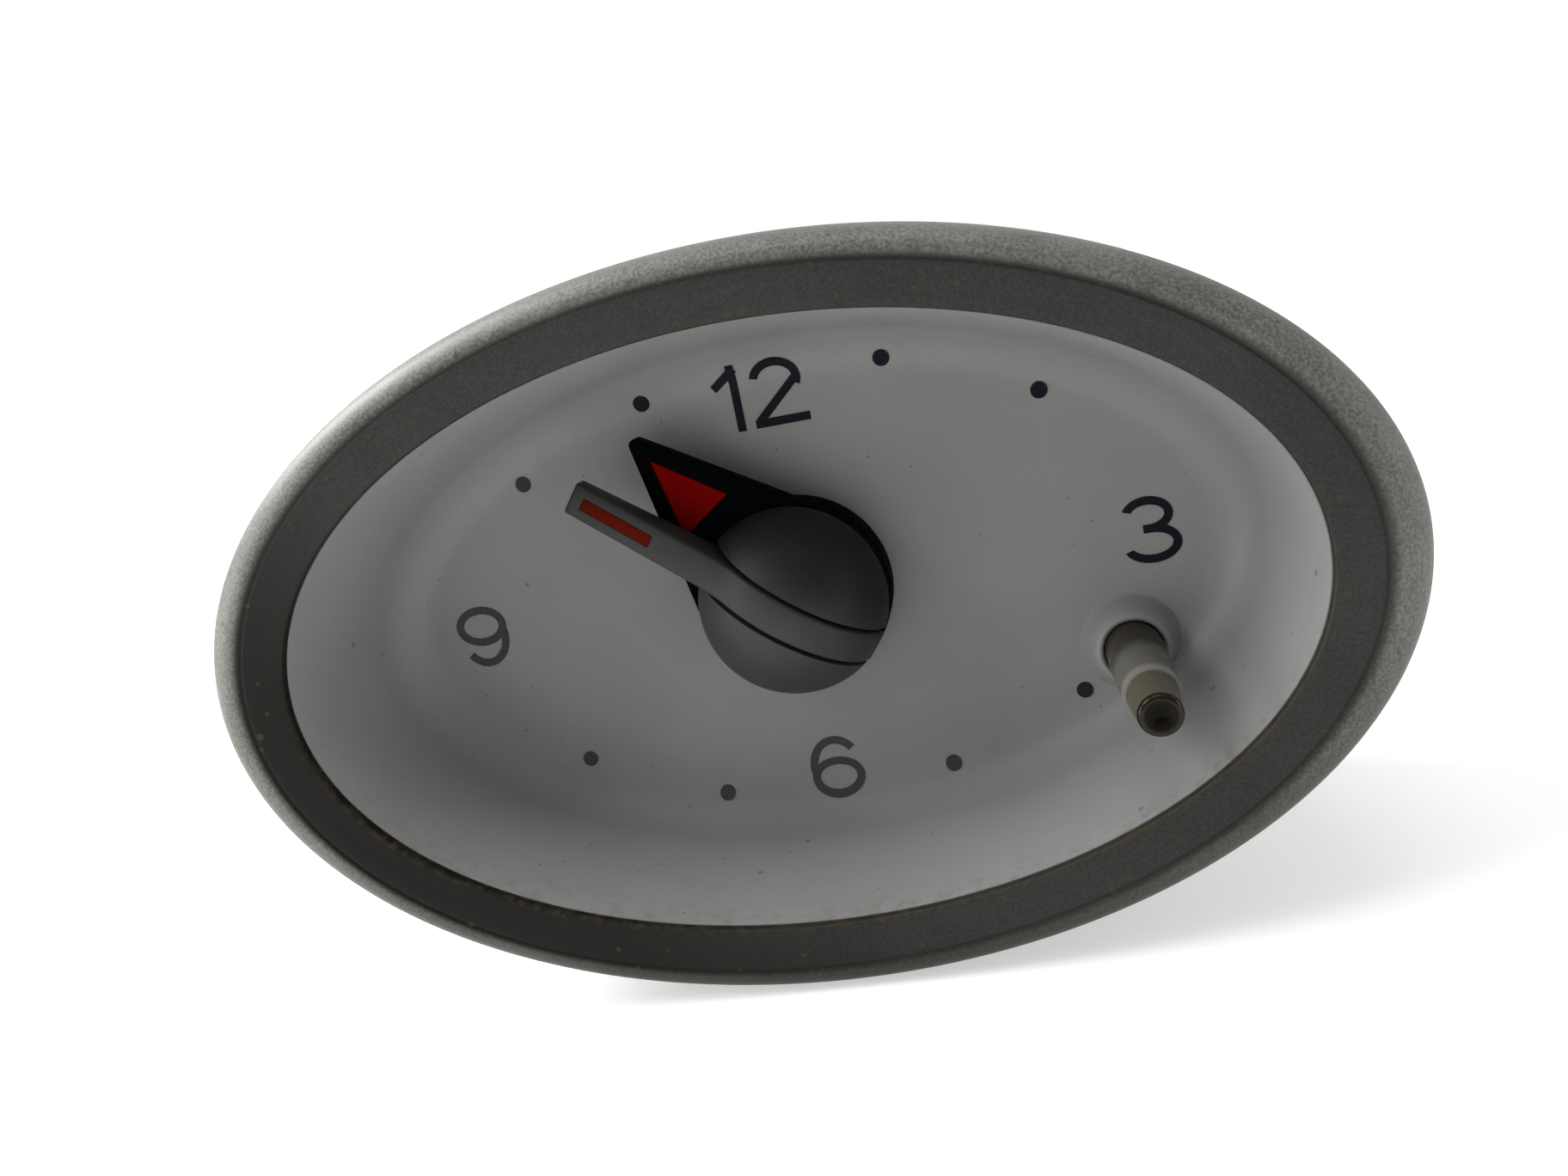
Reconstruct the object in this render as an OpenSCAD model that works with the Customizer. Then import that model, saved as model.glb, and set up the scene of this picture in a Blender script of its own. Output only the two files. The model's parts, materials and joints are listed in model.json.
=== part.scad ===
// Oval dashboard clock with an open dial bowl, quartz movement and dial lamp.
// Clock space: x towards 3 o'clock, y towards 12, z out of the dial, zero on the dial floor.
// in_dash() turns it so that the dial faces -Y and the bezel's seat lies in the plane Y = 0.

/* [Bezel] */
// Full width of the oval bezel
bezel_w = 90.4; // [86:0.2:100]
// Full height of the oval bezel
bezel_h = 56.2; // [55:0.2:64]
// Width of the band that falls away outside the crest, at the sides
outer_band = 3.1; // [2.6:0.1:3.6]
// Width of that band at the top and bottom
outer_top = 1.8; // [1.4:0.1:3]
// Width of the band between the opening and the crest
inner_band = 3.7; // [3.4:0.1:4.6]
// Rise of the crest above the edge of the opening
crest_rise = 0.5; // [0.3:0.1:1.2]
// Fall of the outer band from the crest to the widest line
outer_drop = 3; // [2:0.1:3.4]
// Depth of the bezel from its crest to the face that seats on the dashboard
bezel_depth = 4.5; // [4.2:0.1:6]
// Thickness of the lip round the opening
lip_t = 0.6; // [0.5:0.1:1]
// Width of the groove that runs round just inside the crest
groove_w = 0.4; // [0.3:0.1:0.8]
// Depth of that groove
groove_d = 0.25; // [0.1:0.05:0.4]
// Length of each snap lug round the bezel
lug_len = 6; // [4:0.5:9]
// Height of each snap lug
lug_h = 0.9; // [0.6:0.1:1.2]
// Reach of each snap lug into the case
lug_reach = 0.5; // [0.3:0.1:0.7]

/* [Dial bowl] */
// Depth of the bowl from the edge of the opening to the dial floor
bowl_depth = 16; // [14:0.5:18]
// Wall of the bowl
bowl_wall = 1.6; // [1.2:0.1:2]
// Inward lean of the bowl's wall from the opening to the floor
bowl_lean = 2.2; // [1:0.1:3]
// Radius of the curve between floor and wall
bowl_fillet = 4; // [2:0.5:5]
// Outer diameter of the collar round the setting stem
collar_d = 7.4; // [6.6:0.1:8]
// Height of that collar above the dial floor
collar_h = 2.4; // [1.5:0.1:3]

/* [Dial print] */
// Height of the numerals
numeral_h = 5.45; // [4.5:0.05:6]
// Width of a stroke
ink_w = 0.68; // [0.5:0.02:1]
// Diameter of an hour dot
dot_d = 1.35; // [1:0.05:1.8]
// Thickness of the ink
ink_t = 0.06; // [0.04:0.01:0.12]
// Distance of the numerals 3 and 9 in from the edge of the opening
numeral_side_in = 9.8; // [8.5:0.1:11]
// Distance of the numerals 12 and 6 in from the edge of the opening
numeral_top_in = 6.35; // [6:0.05:7]
// Distance of the oval of dots in from the side of the opening
dot_side_in = 8.8; // [7.5:0.1:10]
// Distance of the oval of dots in from the top of the opening
dot_top_in = 4.24; // [3.8:0.02:5]

/* [Hands] */
// Hour that the hands show
show_hour = 10; // [0:1:11]
// Minute that the hands show
show_minute = 51.4; // [0:0.1:59.9]
// Degrees that the hour hand hangs back from its true place
hour_lag = 0.7; // [0:0.1:2]
// Length of the minute hand from the centre
minute_len = 19.2; // [16:0.1:20]
// Width of the minute hand's bar
minute_w = 2.4; // [2:0.1:3]
// Thickness of the minute hand's bar at its tip
minute_tip_t = 2.6; // [1.6:0.1:3]
// Thickness of the bar where it runs into the dome
minute_root_t = 4.1; // [3.2:0.1:4.6]
// Length of the hour hand from the centre
hour_len = 18.1; // [15:0.1:19]
// Width of the hour hand's blunt tip
hour_tip_w = 1; // [0.5:0.1:1.2]
// Thickness of the hour hand's pointer
hour_t = 2; // [1.4:0.1:2.2]
// Height of the hour hand's top above the dial floor
hour_top = 4.6; // [4.2:0.1:5]
// Diameter of the hub that both hands share
hub_d = 15.4; // [14:0.1:16]
// Height of the domed hub cap
dome_h = 6.3; // [5.5:0.1:6.8]
// Width of the two grooves beside the strip that crosses the dome
strip_gap = 0.34; // [0.3:0.02:0.5]
// Length of the red stripe on the minute hand
stripe_len = 6.2; // [5:0.1:7]
// Width of the red stripe
stripe_w = 0.95; // [0.7:0.05:1.2]
// Distance of the red stripe and triangle from their hands' tips
marker_inset = 1.1; // [0.8:0.1:1.5]
// Length of the red triangle on the hour hand
triangle_len = 6.2; // [5:0.1:6.6]
// Width of the red triangle's base
triangle_w = 4.9; // [4:0.1:5.2]
// Depth of the inlaid markers
marker_t = 0.5; // [0.3:0.05:0.7]

/* [Setting stem] */
// Stem axis, right of the centre
stem_x = 25.9; // [25:0.1:26.5]
// Stem axis, below the centre
stem_drop = 9; // [8.4:0.1:9.6]
// Diameter of the stem where it leaves the dial
stem_d = 4.6; // [4.2:0.1:4.8]
// Diameter of the stem's end
stem_tip_d = 3.2; // [2.8:0.1:3.6]
// Height of the stem's end above the dial floor
stem_tip_z = 17.6; // [16:0.1:18]
// Height of the shoulder on the stem
shoulder_z = 11.6; // [10.5:0.1:12.5]
// Travel of the stem when it is pushed in
stem_travel = 1.5; // [1:0.1:1.6]
// Wire of the return spring
spring_wire = 0.36; // [0.3:0.01:0.38]

/* [Case] */
// Wall of the case shell
case_wall = 1.5; // [1.3:0.1:1.8]
// Gap between parts that nest
nest_gap = 0.2; // [0.15:0.05:0.3]
// Room behind the circuit board for the parts on it
board_room = 3.6; // [3.4:0.1:5]
// Thickness of the rear cover
cover_t = 1.8; // [1.5:0.1:2.4]
// Diameter of the screw columns in the case
column_d = 5.4; // [5:0.1:6]
// Thread diameter of the cover screws
cover_screw_d = 2.2; // [2:0.1:2.6]
// Width of each dashboard clip
clip_w = 9; // [7:0.5:9.5]
// Thickness of the clip strip
clip_t = 0.6; // [0.4:0.05:0.7]
// Bow of the clip beyond its pad
clip_bow = 2; // [1.5:0.1:2.2]

/* [Connector and lamp] */
// Pitch of the three connector pins
pin_pitch = 6; // [5.8:0.1:6.4]
// Width of a connector pin
pin_w = 1.5; // [1.2:0.1:1.6]
// Thickness of a connector pin
pin_t = 0.6; // [0.5:0.05:0.8]
// Inner width of the connector shroud
shroud_w = 17; // [16.8:0.1:18]
// Inner height of the connector shroud
shroud_h = 6.4; // [6:0.1:8]
// Wall of the connector shroud
shroud_wall = 1.4; // [1:0.1:1.8]
// Depth of the connector shroud
shroud_depth = 9; // [8:0.5:11]
// Diameter of the lamp holder's neck
lamp_d = 8.6; // [8:0.1:9]
// Diameter of the lamp's glass
bulb_d = 4.8; // [4.4:0.1:5]

/* [Movement] */
// Length of the movement plates
plate_w = 57; // [56.5:0.1:58]
// Height of the movement plates
plate_h = 23; // [22.5:0.1:23.5]
// Thickness of the front plate
front_plate_t = 1.5; // [1.3:0.1:1.8]
// Thickness of the back plate
back_plate_t = 1.2; // [1:0.1:1.5]
// Room between dial and front plate for the motion work
motion_room = 4.4; // [4.3:0.1:4.8]
// Room between the plates for the wheel train
train_room = 5.5; // [5.4:0.1:6]
// Tooth module of the motion work
motion_m = 0.3; // [0.29:0.005:0.31]
// Tooth module of the time train
train_m = 0.25; // [0.24:0.005:0.26]
// Face width of the wheels
wheel_t = 0.9; // [0.7:0.05:1]
// Diameter of the rotor magnet
magnet_d = 5; // [4:0.1:5.4]
// Diameter of the coil winding
coil_d = 5; // [4.4:0.1:5.2]
// Thickness of the circuit board
board_t = 1.2; // [1:0.1:1.6]
// Radial clearance of a running shaft
run_gap = 0.04; // [0.02:0.01:0.06]
// End play of a running part
end_play = 0.1; // [0.08:0.01:0.15]

/* [Hidden] */
$fn = 64;
oval_n = 72;
arc_n = 20;
eps = 0.01;

// Opening of the bezel, from which every oval outline is offset
open_a = bezel_w / 2 - outer_band - inner_band;
open_b = bezel_h / 2 - outer_top - inner_band;
bezel_rim = inner_band + outer_band;
lip_z = bowl_depth;
crest_z = lip_z + crest_rise;
seat_z = crest_z - bezel_depth;
rear_ring_t = 0.8;

// Nesting of bowl, case and bezel, as offsets from the opening
flange_t = 1.6;
flange_top = lip_z - lip_t;
flange_low = flange_top - flange_t;
case_in = bowl_wall + nest_gap;
case_out = case_in + case_wall;
skirt_in = case_out + nest_gap;
lug_angles = [60, 120, 240, 300];
lug_root = 0.4;

// Bowl section
lean_deg = atan(bowl_lean / bowl_depth);
fillet_run = bowl_fillet / tan((90 + lean_deg) / 2);
fillet_d = -bowl_lean - fillet_run;
fillet_steps = 6;

// Levels behind the dial floor
floor_back = -bowl_wall;
plate_front_z = floor_back - motion_room;
plate_back_z = plate_front_z - front_plate_t;
rear_plate_z = plate_back_z - train_room;
rear_plate_low = rear_plate_z - back_plate_t;
board_gap = 1;
board_z = rear_plate_low - board_gap;
board_low = board_z - board_t;
cover_z = board_low - board_room;
cover_low = cover_z - cover_t;

// Plate outline, centred a little to the right and below the hands
plate_mid = [3, -1.5];
plate_r = 3;

// Axes of the wheels
cannon_z = 15;
minute_z = 45;
minute_pinion_z = 12;
hour_z = 48;
idler_z = 32;
setting_z = 26;
centre_z = 72;
train_pinion_z = 12;
inter_z = 60;
stem_pos = [stem_x, -stem_drop];
stem_dir = atan2(-stem_drop, stem_x);
minute_pos = polar(pair(motion_m, cannon_z, minute_z), stem_dir);
idler_reach = pair(motion_m, minute_z, idler_z);
idler_pos = meet(minute_pos, idler_reach, stem_pos, pair(motion_m, idler_z, setting_z));
inter_dir = 150;
inter_pos = polar(pair(train_m, centre_z, train_pinion_z), inter_dir);
rotor_dir = 205;
rotor_pos = inter_pos + polar(pair(train_m, inter_z, train_pinion_z), rotor_dir);

// Tooth phases, each from the wheel that it meshes with
minute_phase = mesh_phase(0, cannon_z, minute_z, stem_dir);
hour_phase = mesh_phase(stem_dir + 180, minute_pinion_z, hour_z, stem_dir + 180);
idler_phase = mesh_phase(minute_phase, minute_z, idler_z, heading(minute_pos, idler_pos));
setting_phase = mesh_phase(idler_phase, idler_z, setting_z, heading(idler_pos, stem_pos));
inter_phase = mesh_phase(0, centre_z, train_pinion_z, inter_dir);
rotor_phase = mesh_phase(inter_phase, inter_z, train_pinion_z, rotor_dir);

// Levels of the motion work, from the front plate forwards
pinion_extra = 0.3;
motion_lift = 1;
pinion_lead = 0.2;
post_lead = 0.2;
cannon_low = plate_front_z + motion_lift;
minute_low = cannon_low + pinion_lead;
hour_low = minute_low + wheel_t + 2 * pinion_extra;
hour_face = hour_low + wheel_t;

// Levels of the time train, from the front plate backwards
centre_drop = 0.7;
train_step = 0.8;
magnet_gap = 0.15;
inter_pinion_gap = 0.4;
centre_top = plate_back_z - centre_drop;
inter_top = centre_top - wheel_t - train_step;
inter_pinion_t = plate_back_z - inter_pinion_gap - inter_top;
magnet_t = 1.4;
rotor_pinion_low = inter_top - wheel_t - pinion_extra;
magnet_top = rotor_pinion_low - magnet_gap;
stator_t = 1;
stator_top = magnet_top - (magnet_t - stator_t) / 2;
stator_low = stator_top - stator_t;

// Shafts
arbor_r = 1.5;
arbor_pivot_r = 0.75;
post_r = 0.75;
pipe_r = 2.5;
bowl_hole_r = 2.9;
idler_r = 1;
hub_wall_r = 2;
centre_hub_r = 2.5;
inter_r = 0.5;
rotor_r = 0.4;
pivot_depth = 0.9;
press_gap = 0.02;

// Hands
hub_r = hub_d / 2;
hour_base = 0.4;
hub_skirt = 1.2;
hand_gap = 0.4;
minute_base = hour_top + hand_gap;
cap_inset = 0.15;
dome_rim = hub_r - cap_inset;
dome_r = (dome_rim * dome_rim + dome_h * dome_h) / (2 * dome_h);
dome_z = minute_base + dome_h - dome_r;
bar_root = sqrt(dome_r * dome_r - pow(minute_base + minute_root_t - dome_z, 2));
bar_slope = atan((minute_root_t - minute_tip_t) / (minute_len - bar_root));
strip_t = 1;
cap_t = 2.1;
boss_r = 3;
arbor_room = 0.4;
arbor_top = minute_base + dome_h - strip_t - arbor_room;
minute_angle = 6 * show_minute;
hour_angle = 30 * show_hour + show_minute / 2 - hour_lag;
marker_gap = 0.03;
triangle_setback = 1.1;

// Setting stem
tail_r = 1.5;
tip_round = 0.35;
dimple_depth = 0.4;
ring_inset = 0.2;
ring_h = 0.5;
stem_flange_r = 3.2;
stem_flange_t = 0.9;
washer_t = 0.4;
stem_play = 0.05;
stem_flange_top = floor_back - stem_play;
washer_top = stem_flange_top - stem_flange_t;
spring_top = washer_top - washer_t;
spring_r = 2.4;
spring_turns = 3;
pad_t = 0.7;
pad_r = 2.4;
pad_gap = 0.3;
face_step = 0.25;
pad_top = plate_back_z - pad_gap;
setting_face = pad_top - pad_t - stem_travel - stem_play;
setting_top = setting_face - face_step;

// Fasteners
screw_r = 0.8;
screw_head_r = 1.6;
screw_head_t = 1.2;
slot_part = 0.65;
slot_w = 0.5;
slot_depth = 0.6;
dial_screw_grip = 3;
board_screw_grip = 4;
pillar_r = 1.75;
pillar_step = 0.3;
dial_boss_r = 2.5;
pillars = [[-19.5, 7.8], [-6.5, -10.8], [12, -10.8], [28.5, 7]];
dial_bosses = [[-16, 6], [1, -11.3], [20, 6.5]];
column_angles = [50, 130, 230, 310];
column_gap = 3;
column_bite = 0.6;
column_top = floor_back - column_gap;
cover_screw_r = cover_screw_d / 2;
cover_screw_len = 7;
column_bore = 8;
cover_head_r = 2.2;

// Motor
stator_w = 14.1;
stator_h = 7;
air_gap = 0.6;
core_h = 2.4;
core_leg = 2.8;
coil_offset = 9.5;
core_y = rotor_pos.y - coil_offset;
coil_z = (stator_top + stator_low) / 2;
bobbin_wall = 0.6;
bobbin_play = 0.5;
bobbin_len = stator_w - 2 * core_leg - 2 * bobbin_play;
bobbin_r = norm([core_h, stator_t]) / 2 + bobbin_wall;
coil_window = [bobbin_len + 2 * nest_gap, coil_d + 4 * nest_gap];
stator_boss_r = 1.3;
stator_span = (stator_w - core_leg) / 2;
stator_bosses = [for (x = [-1, 1], y = [rotor_pos.y, core_y]) [rotor_pos.x + x * stator_span, y]];

// Parts on the circuit board: places, and diameters with lengths
crystal_pos = [4, 6];
crystal_size = [3, 8];
capacitor_pos = [23, -4];
capacitor_size = [3.2, 7];
diode_pos = [-13, 5];
diode_size = [2.2, 4.6];
lead_w = 0.4;
lead_len = 1;
chip_pos = [14, -3];
chip = [8, 5, 1.5];
chip_lift = 0.3;
leg_pitch = 2;
leg_w = 0.5;
leg_t = 0.3;
leg_reach = 1.3;
leg_drop = 1.2;

// Connector and lamp
conn_pos = [-8, -3];
pin_x = [-pin_pitch, 0, pin_pitch];
pin_recess = 1.6;
pin_solder = 0.4;
pin_end = cover_low - shroud_depth + pin_recess;
shroud_r = 1;
lamp_in = 6;
lamp_pos = [12, open_b - lamp_in];
lamp_r = lamp_d / 2;
lamp_gap = 0.08;
lamp_rim = 1.2;
lamp_step = 0.8;
lamp_rise = 6;
lamp_cap_r = lamp_r + lamp_rim;
lamp_cap_t = 1.6;
lamp_grip = [2, 8, 2];
lamp_lug = [1, 1.8, 0.9];
lamp_top = cover_z + lamp_rise;
bulb_base = [4, 1.6, 3.6];
bulb_len = 8;
clip_pad = [1.4, 10, 14];
clip_foot = 6;
peg_r = 1.2;
clip_setback = 4.5;
clip_pad_low = seat_z - clip_setback - clip_pad.z;
clip_edge = 0.2;
clip_bend = clip_pad.z - clip_edge;
clip_catch = [1, 1.4];
clip_lip = 0.4;
pad_face = open_a + case_out + nest_gap;

// Points on a circle, distances of gear pairs and the directions between axes
function polar(r, a) = r * [cos(a), sin(a)];
function pair(m, za, zb) = m * (za + zb) / 2;
function heading(p, q) = atan2(q.y - p.y, q.x - p.x);

// Meeting point, on the upper side, of two circles about p and q
function meet(p, rp, q, rq) =
    let (d = norm(q - p), u = (q - p) / d)
    let (along = (rp * rp - rq * rq + d * d) / (2 * d))
    p + along * u + sqrt(rp * rp - along * along) * [-u.y, u.x];

// Phase of a wheel that meshes at bearing a with one whose tooth stands at angle p
function mesh_phase(p, za, zb, a) = a + 180 - (p - a) * za / zb + 180 / zb;

// Involute teeth, a little short and a little thin so that they run free
pressure = 20;
tooth_top = 0.8;
tooth_root = 1.1;
tooth_fill = 0.88;
tooth_foot = 0.1;
function involute(rb, r) = r <= rb ? 0 : let (a = acos(rb / r)) tan(a) * 180 / PI - a;
function half_tooth(m, z, r) =
    let (rp = m * z / 2, rb = rp * cos(pressure))
    tooth_fill * 90 / z + involute(rb, rp) - involute(rb, r);
function gear_outline(m, z, phase) =
    let (rp = m * z / 2, rb = rp * cos(pressure), rt = rp + tooth_top * m, rr = rp - tooth_root * m)
    let (flank = [rr, max(rb, rr + tooth_foot * m), rp, (rp + rt) / 2, rt])
    [for (i = [0 : z - 1], s = [-1, 1], k = [0 : 4])
        let (r = s < 0 ? flank[k] : flank[4 - k])
        polar(r, phase + 360 * i / z + s * half_tooth(m, z, r))];

// Oval outline offset by d from the opening, and rings of such outlines
// Past the crest the offset grows less towards the top and bottom
function offset_y(d) = min(d, inner_band) + max(0, d - inner_band) * outer_top / outer_band;
function oval_at(d, a) = [(open_a + d) * cos(a), (open_b + offset_y(d)) * sin(a)];
function oval(d) = [for (i = [0 : oval_n - 1]) oval_at(d, 360 * i / oval_n)];
function ring_points(section) = [for (s = section) for (p = oval(s.x)) [p.x, p.y, s.y]];
function ring_quads(rings, closed) =
    [for (j = [0 : rings - (closed ? 1 : 2)], i = [0 : oval_n - 1])
        let (k = (i + 1) % oval_n, n = (j + 1) % rings)
        [j * oval_n + i, j * oval_n + k, n * oval_n + k, n * oval_n + i]];

// A ring whose section is a closed outline
module oval_ring(section)
    polyhedron(ring_points(section), ring_quads(len(section), true), convexity = 6);

// A vessel whose section runs from its floor, over its rim, to its back face
module oval_vessel(section) {
    n = len(section);
    floor_face = [[for (i = [oval_n - 1 : -1 : 0]) i]];
    back_face = [[for (i = [0 : oval_n - 1]) (n - 1) * oval_n + i]];
    polyhedron(ring_points(section), concat(floor_face, ring_quads(n, false), back_face), convexity = 6);
}

module in_dash() rotate([90, 0, 0]) translate([0, 0, -seat_z]) children();
module at(p, z = 0) translate([p.x, p.y, z]) children();
module gear(m, z, phase, t = wheel_t) linear_extrude(t) polygon(gear_outline(m, z, phase));
module rod(r, low, top) translate([0, 0, low]) cylinder(r = r, h = top - low);
module oval_slab(d, low, top) translate([0, 0, low]) linear_extrude(top - low) polygon(oval(d));
module rim_point(a, d) at(oval_at(d, a))
    rotate(atan2((open_a + d) * sin(a), (open_b + d) * cos(a))) children();
module hand_turn(a) rotate(90 - a) children();

// Plate with round corners
module round_plate(w, h, r, t) {
    translate([-w / 2 + r, -h / 2, 0]) cube([w - 2 * r, h, t]);
    translate([-w / 2, -h / 2 + r, 0]) cube([w, h - 2 * r, t]);
    for (x = [-1, 1], y = [-1, 1])
        translate([x * (w / 2 - r), y * (h / 2 - r), 0]) cylinder(r = r, h = t);
}
module movement_outline(low, t) at(plate_mid, low) round_plate(plate_w, plate_h, plate_r, t);

// Screw with its head below the face and a cross slot in the head
module screw(r, head_r, face, reach) {
    difference() {
        rod(head_r, face - screw_head_t, face);
        for (a = [0, 90]) rotate(a)
            translate([-slot_part * head_r, -slot_w / 2, face - screw_head_t - eps])
                cube([2 * slot_part * head_r, slot_w, slot_depth]);
    }
    rod(r, face, face + reach);
}

// Bezel: the section runs from the lip over the inner band, groove, crest and outer band
function bezel_section() =
    let (band = function (d) lip_z + crest_rise * d / inner_band)
    let (g = inner_band - groove_w)
    concat(
        [[0, flange_top], [0, lip_z], [g - groove_w / 2, band(g - groove_w / 2)]],
        [[g, band(g) - groove_d], [g + groove_w / 2, band(g + groove_w / 2)]],
        [for (t = [0 : 15 : 90]) [inner_band + outer_band * sin(t), crest_z - outer_drop * (1 - cos(t))]],
        [[bezel_rim, seat_z + rear_ring_t], [skirt_in, seat_z + rear_ring_t], [skirt_in, flange_top]]
    );
module bezel() color("silver") in_dash() {
    oval_ring(bezel_section());
    translate([0, 0, seat_z]) linear_extrude(rear_ring_t) difference() {
        polygon(oval(bezel_rim));
        polygon(oval(skirt_in));
    }
    for (a = lug_angles) rim_point(a, skirt_in)
        translate([-nest_gap - lug_reach, -lug_len / 2, seat_z])
            cube([nest_gap + lug_reach + lug_root, lug_len, lug_h]);
}

// Bowl: up the inside from the floor, over the flange and down the outside to the back
function fillet_arc(r, up) =
    [for (i = [0 : fillet_steps])
        let (f = up ? i : fillet_steps - i, a = -90 + (90 - lean_deg) * f / fillet_steps)
        [fillet_d + r * cos(a), bowl_fillet + r * sin(a)]];
function wall_d(z) = -bowl_lean * (1 - z / bowl_depth);
function bowl_section() = concat(
    fillet_arc(bowl_fillet, true),
    [[wall_d(flange_top), flange_top], [case_out, flange_top]],
    [[case_out, flange_low], [wall_d(flange_low) + bowl_wall / cos(lean_deg), flange_low]],
    fillet_arc(bowl_fillet + bowl_wall, false)
);
module dial_bowl() color("whitesmoke") in_dash() difference() {
    union() {
        oval_vessel(bowl_section());
        at(stem_pos) stem_collar();
        for (p = dial_bosses) at(p) rod(dial_boss_r, plate_front_z, floor_back);
    }
    rod(bowl_hole_r, floor_back - eps, eps);
    at(stem_pos) rod(stem_d / 2 + run_gap, floor_back - eps, collar_h + eps);
    for (p = dial_bosses) at(p) rod(screw_r + press_gap, plate_front_z - eps, floor_back);
}
// Collar with a rounded rim, standing on the dial floor
module stem_collar() {
    mid = (collar_d / 2 + stem_d / 2) / 2;
    round_r = collar_d / 2 - mid;
    core_r = stem_d / 4;
    rotate_extrude() {
        translate([core_r, -bowl_wall / 2])
            square([collar_d / 2 - core_r, bowl_wall / 2 + collar_h - round_r]);
        translate([core_r, 0]) square([mid - core_r, collar_h]);
        translate([mid, collar_h - round_r]) circle(round_r);
    }
}

// Dial print: numerals from straight and curved strokes, dots on an oval
module bar_stroke(p, q) translate(p) rotate(heading(p, q))
    translate([0, -ink_w / 2]) square([norm(q - p), ink_w]);
module arc_stroke(c, rx, ry, a0, a1) {
    side = function (s) [for (i = [0 : arc_n]) let (a = a0 + (a1 - a0) * i / arc_n)
        c + [(rx + s * ink_w / 2) * cos(a), (ry + s * ink_w / 2) * sin(a)]];
    inner = side(-1);
    polygon(concat(side(1), [for (i = [arc_n : -1 : 0]) inner[i]]));
}
half_h = (numeral_h - ink_w) / 2;
bowl_rx = 0.82 * half_h;
module figure_one() {
    bar_stroke([0, -numeral_h / 2], [0, numeral_h / 2]);
    bar_stroke([0.12 * half_h, half_h], [-0.72 * half_h, 0.42 * half_h]);
}
module figure_two() {
    top = 0.6 * half_h;
    knee = [0.66 * half_h, half_h - 1.06 * top];
    arc_stroke([-0.02 * half_h, half_h - top], 0.74 * half_h, top, -24, 168);
    bar_stroke(knee, [-0.8 * half_h, -0.93 * half_h]);
    bar_stroke([-0.95 * half_h, -half_h], [0.95 * half_h, -half_h]);
}
module figure_three() {
    arc_stroke([-0.06 * half_h, 0.52 * half_h], 0.7 * half_h, 0.48 * half_h, -90, 160);
    arc_stroke([0, -0.48 * half_h], bowl_rx, 0.52 * half_h, -160, 90);
    bar_stroke([-0.24 * half_h, 0.04 * half_h], [0.1 * half_h, 0.04 * half_h]);
}
module figure_six() {
    bowl_ry = 0.6 * half_h;
    for (a = [0, 180]) arc_stroke([0, bowl_ry - half_h], bowl_rx, bowl_ry, a, a + 180);
    arc_stroke([0, 0], bowl_rx, half_h, 38, 190);
}
numeral_x = open_a - numeral_side_in;
numeral_y = open_b - numeral_top_in;
dot_oval = [open_a - dot_side_in, open_b - dot_top_in];
module figures() {
    translate([-0.9 * half_h, numeral_y]) figure_one();
    translate([0.55 * half_h, numeral_y]) figure_two();
    translate([numeral_x, 0]) figure_three();
    translate([0, -numeral_y]) figure_six();
    translate([-numeral_x, 0]) rotate(180) figure_six();
    for (h = [1, 2, 4, 5, 7, 8, 10, 11])
        let (s = sin(30 * h), c = cos(30 * h), r = 1 / norm([s / dot_oval.x, c / dot_oval.y]))
        translate(r * [s, c]) circle(d = dot_d);
}
// The ink follows the floor and the curve at its edge
module bowl_space() oval_vessel(concat([[wall_d(flange_top), flange_top]], fillet_arc(bowl_fillet, false)));
module dial_print() color("midnightblue") in_dash() difference() {
    intersection() {
        linear_extrude(bowl_fillet) figures();
        bowl_space();
    }
    translate([0, 0, ink_t]) bowl_space();
}

// Hour hand: a drum with a pointer whose edges run into it, just short of tangent
function tangent_at(p, r) = atan2(p.y, p.x) + acos(r / norm(p));
function pointer_outline() =
    let (tip = [hour_len, hour_tip_w / 2], r = hub_r - 5 * eps, t = polar(r, tangent_at(tip, r)))
    [tip, t, [t.x, -t.y], [tip.x, -tip.y]];
function triangle_outline(gap) =
    let (tip = hour_len - marker_inset - triangle_setback, base = tip - triangle_len)
    [[tip + 2 * gap, 0], [base - gap, triangle_w / 2 + gap], [base - gap, -triangle_w / 2 - gap]];
module hour_hand() color("black") in_dash() hand_turn(hour_angle) difference() {
    union() {
        rod(hub_r, hour_base, hour_top);
        translate([0, 0, hour_top - hour_t]) linear_extrude(hour_t) polygon(pointer_outline());
    }
    difference() {
        rod(hub_r - hub_skirt, hour_base - eps, hour_top - hour_t);
        rod(pipe_r + hub_skirt, hour_base - 2 * eps, hour_top);
    }
    rod(pipe_r + press_gap, hour_base - eps, hour_top + eps);
    translate([0, 0, hour_top - marker_t])
        linear_extrude(marker_t + eps) polygon(triangle_outline(marker_gap));
}
module hour_hand_triangle() color("red") in_dash() hand_turn(hour_angle)
    translate([0, 0, hour_top - marker_t]) linear_extrude(marker_t) polygon(triangle_outline(0));

// Minute hand: a bar that runs on as a strip over the domed cap
module dome_ball(inset) translate([0, 0, dome_z]) sphere(r = dome_r - inset, $fn = 128);
module dome_room(w) translate([-2 * hub_r, -w / 2, minute_base]) cube([4 * hub_r, w, 2 * dome_h]);
module stripe_shape(gap, t)
    translate([minute_len, 0, minute_base + minute_tip_t]) rotate([0, bar_slope, 0])
    translate([-marker_inset - stripe_len - gap, -stripe_w / 2 - gap, -marker_t])
    cube([stripe_len + 2 * gap, stripe_w + 2 * gap, t]);
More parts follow.
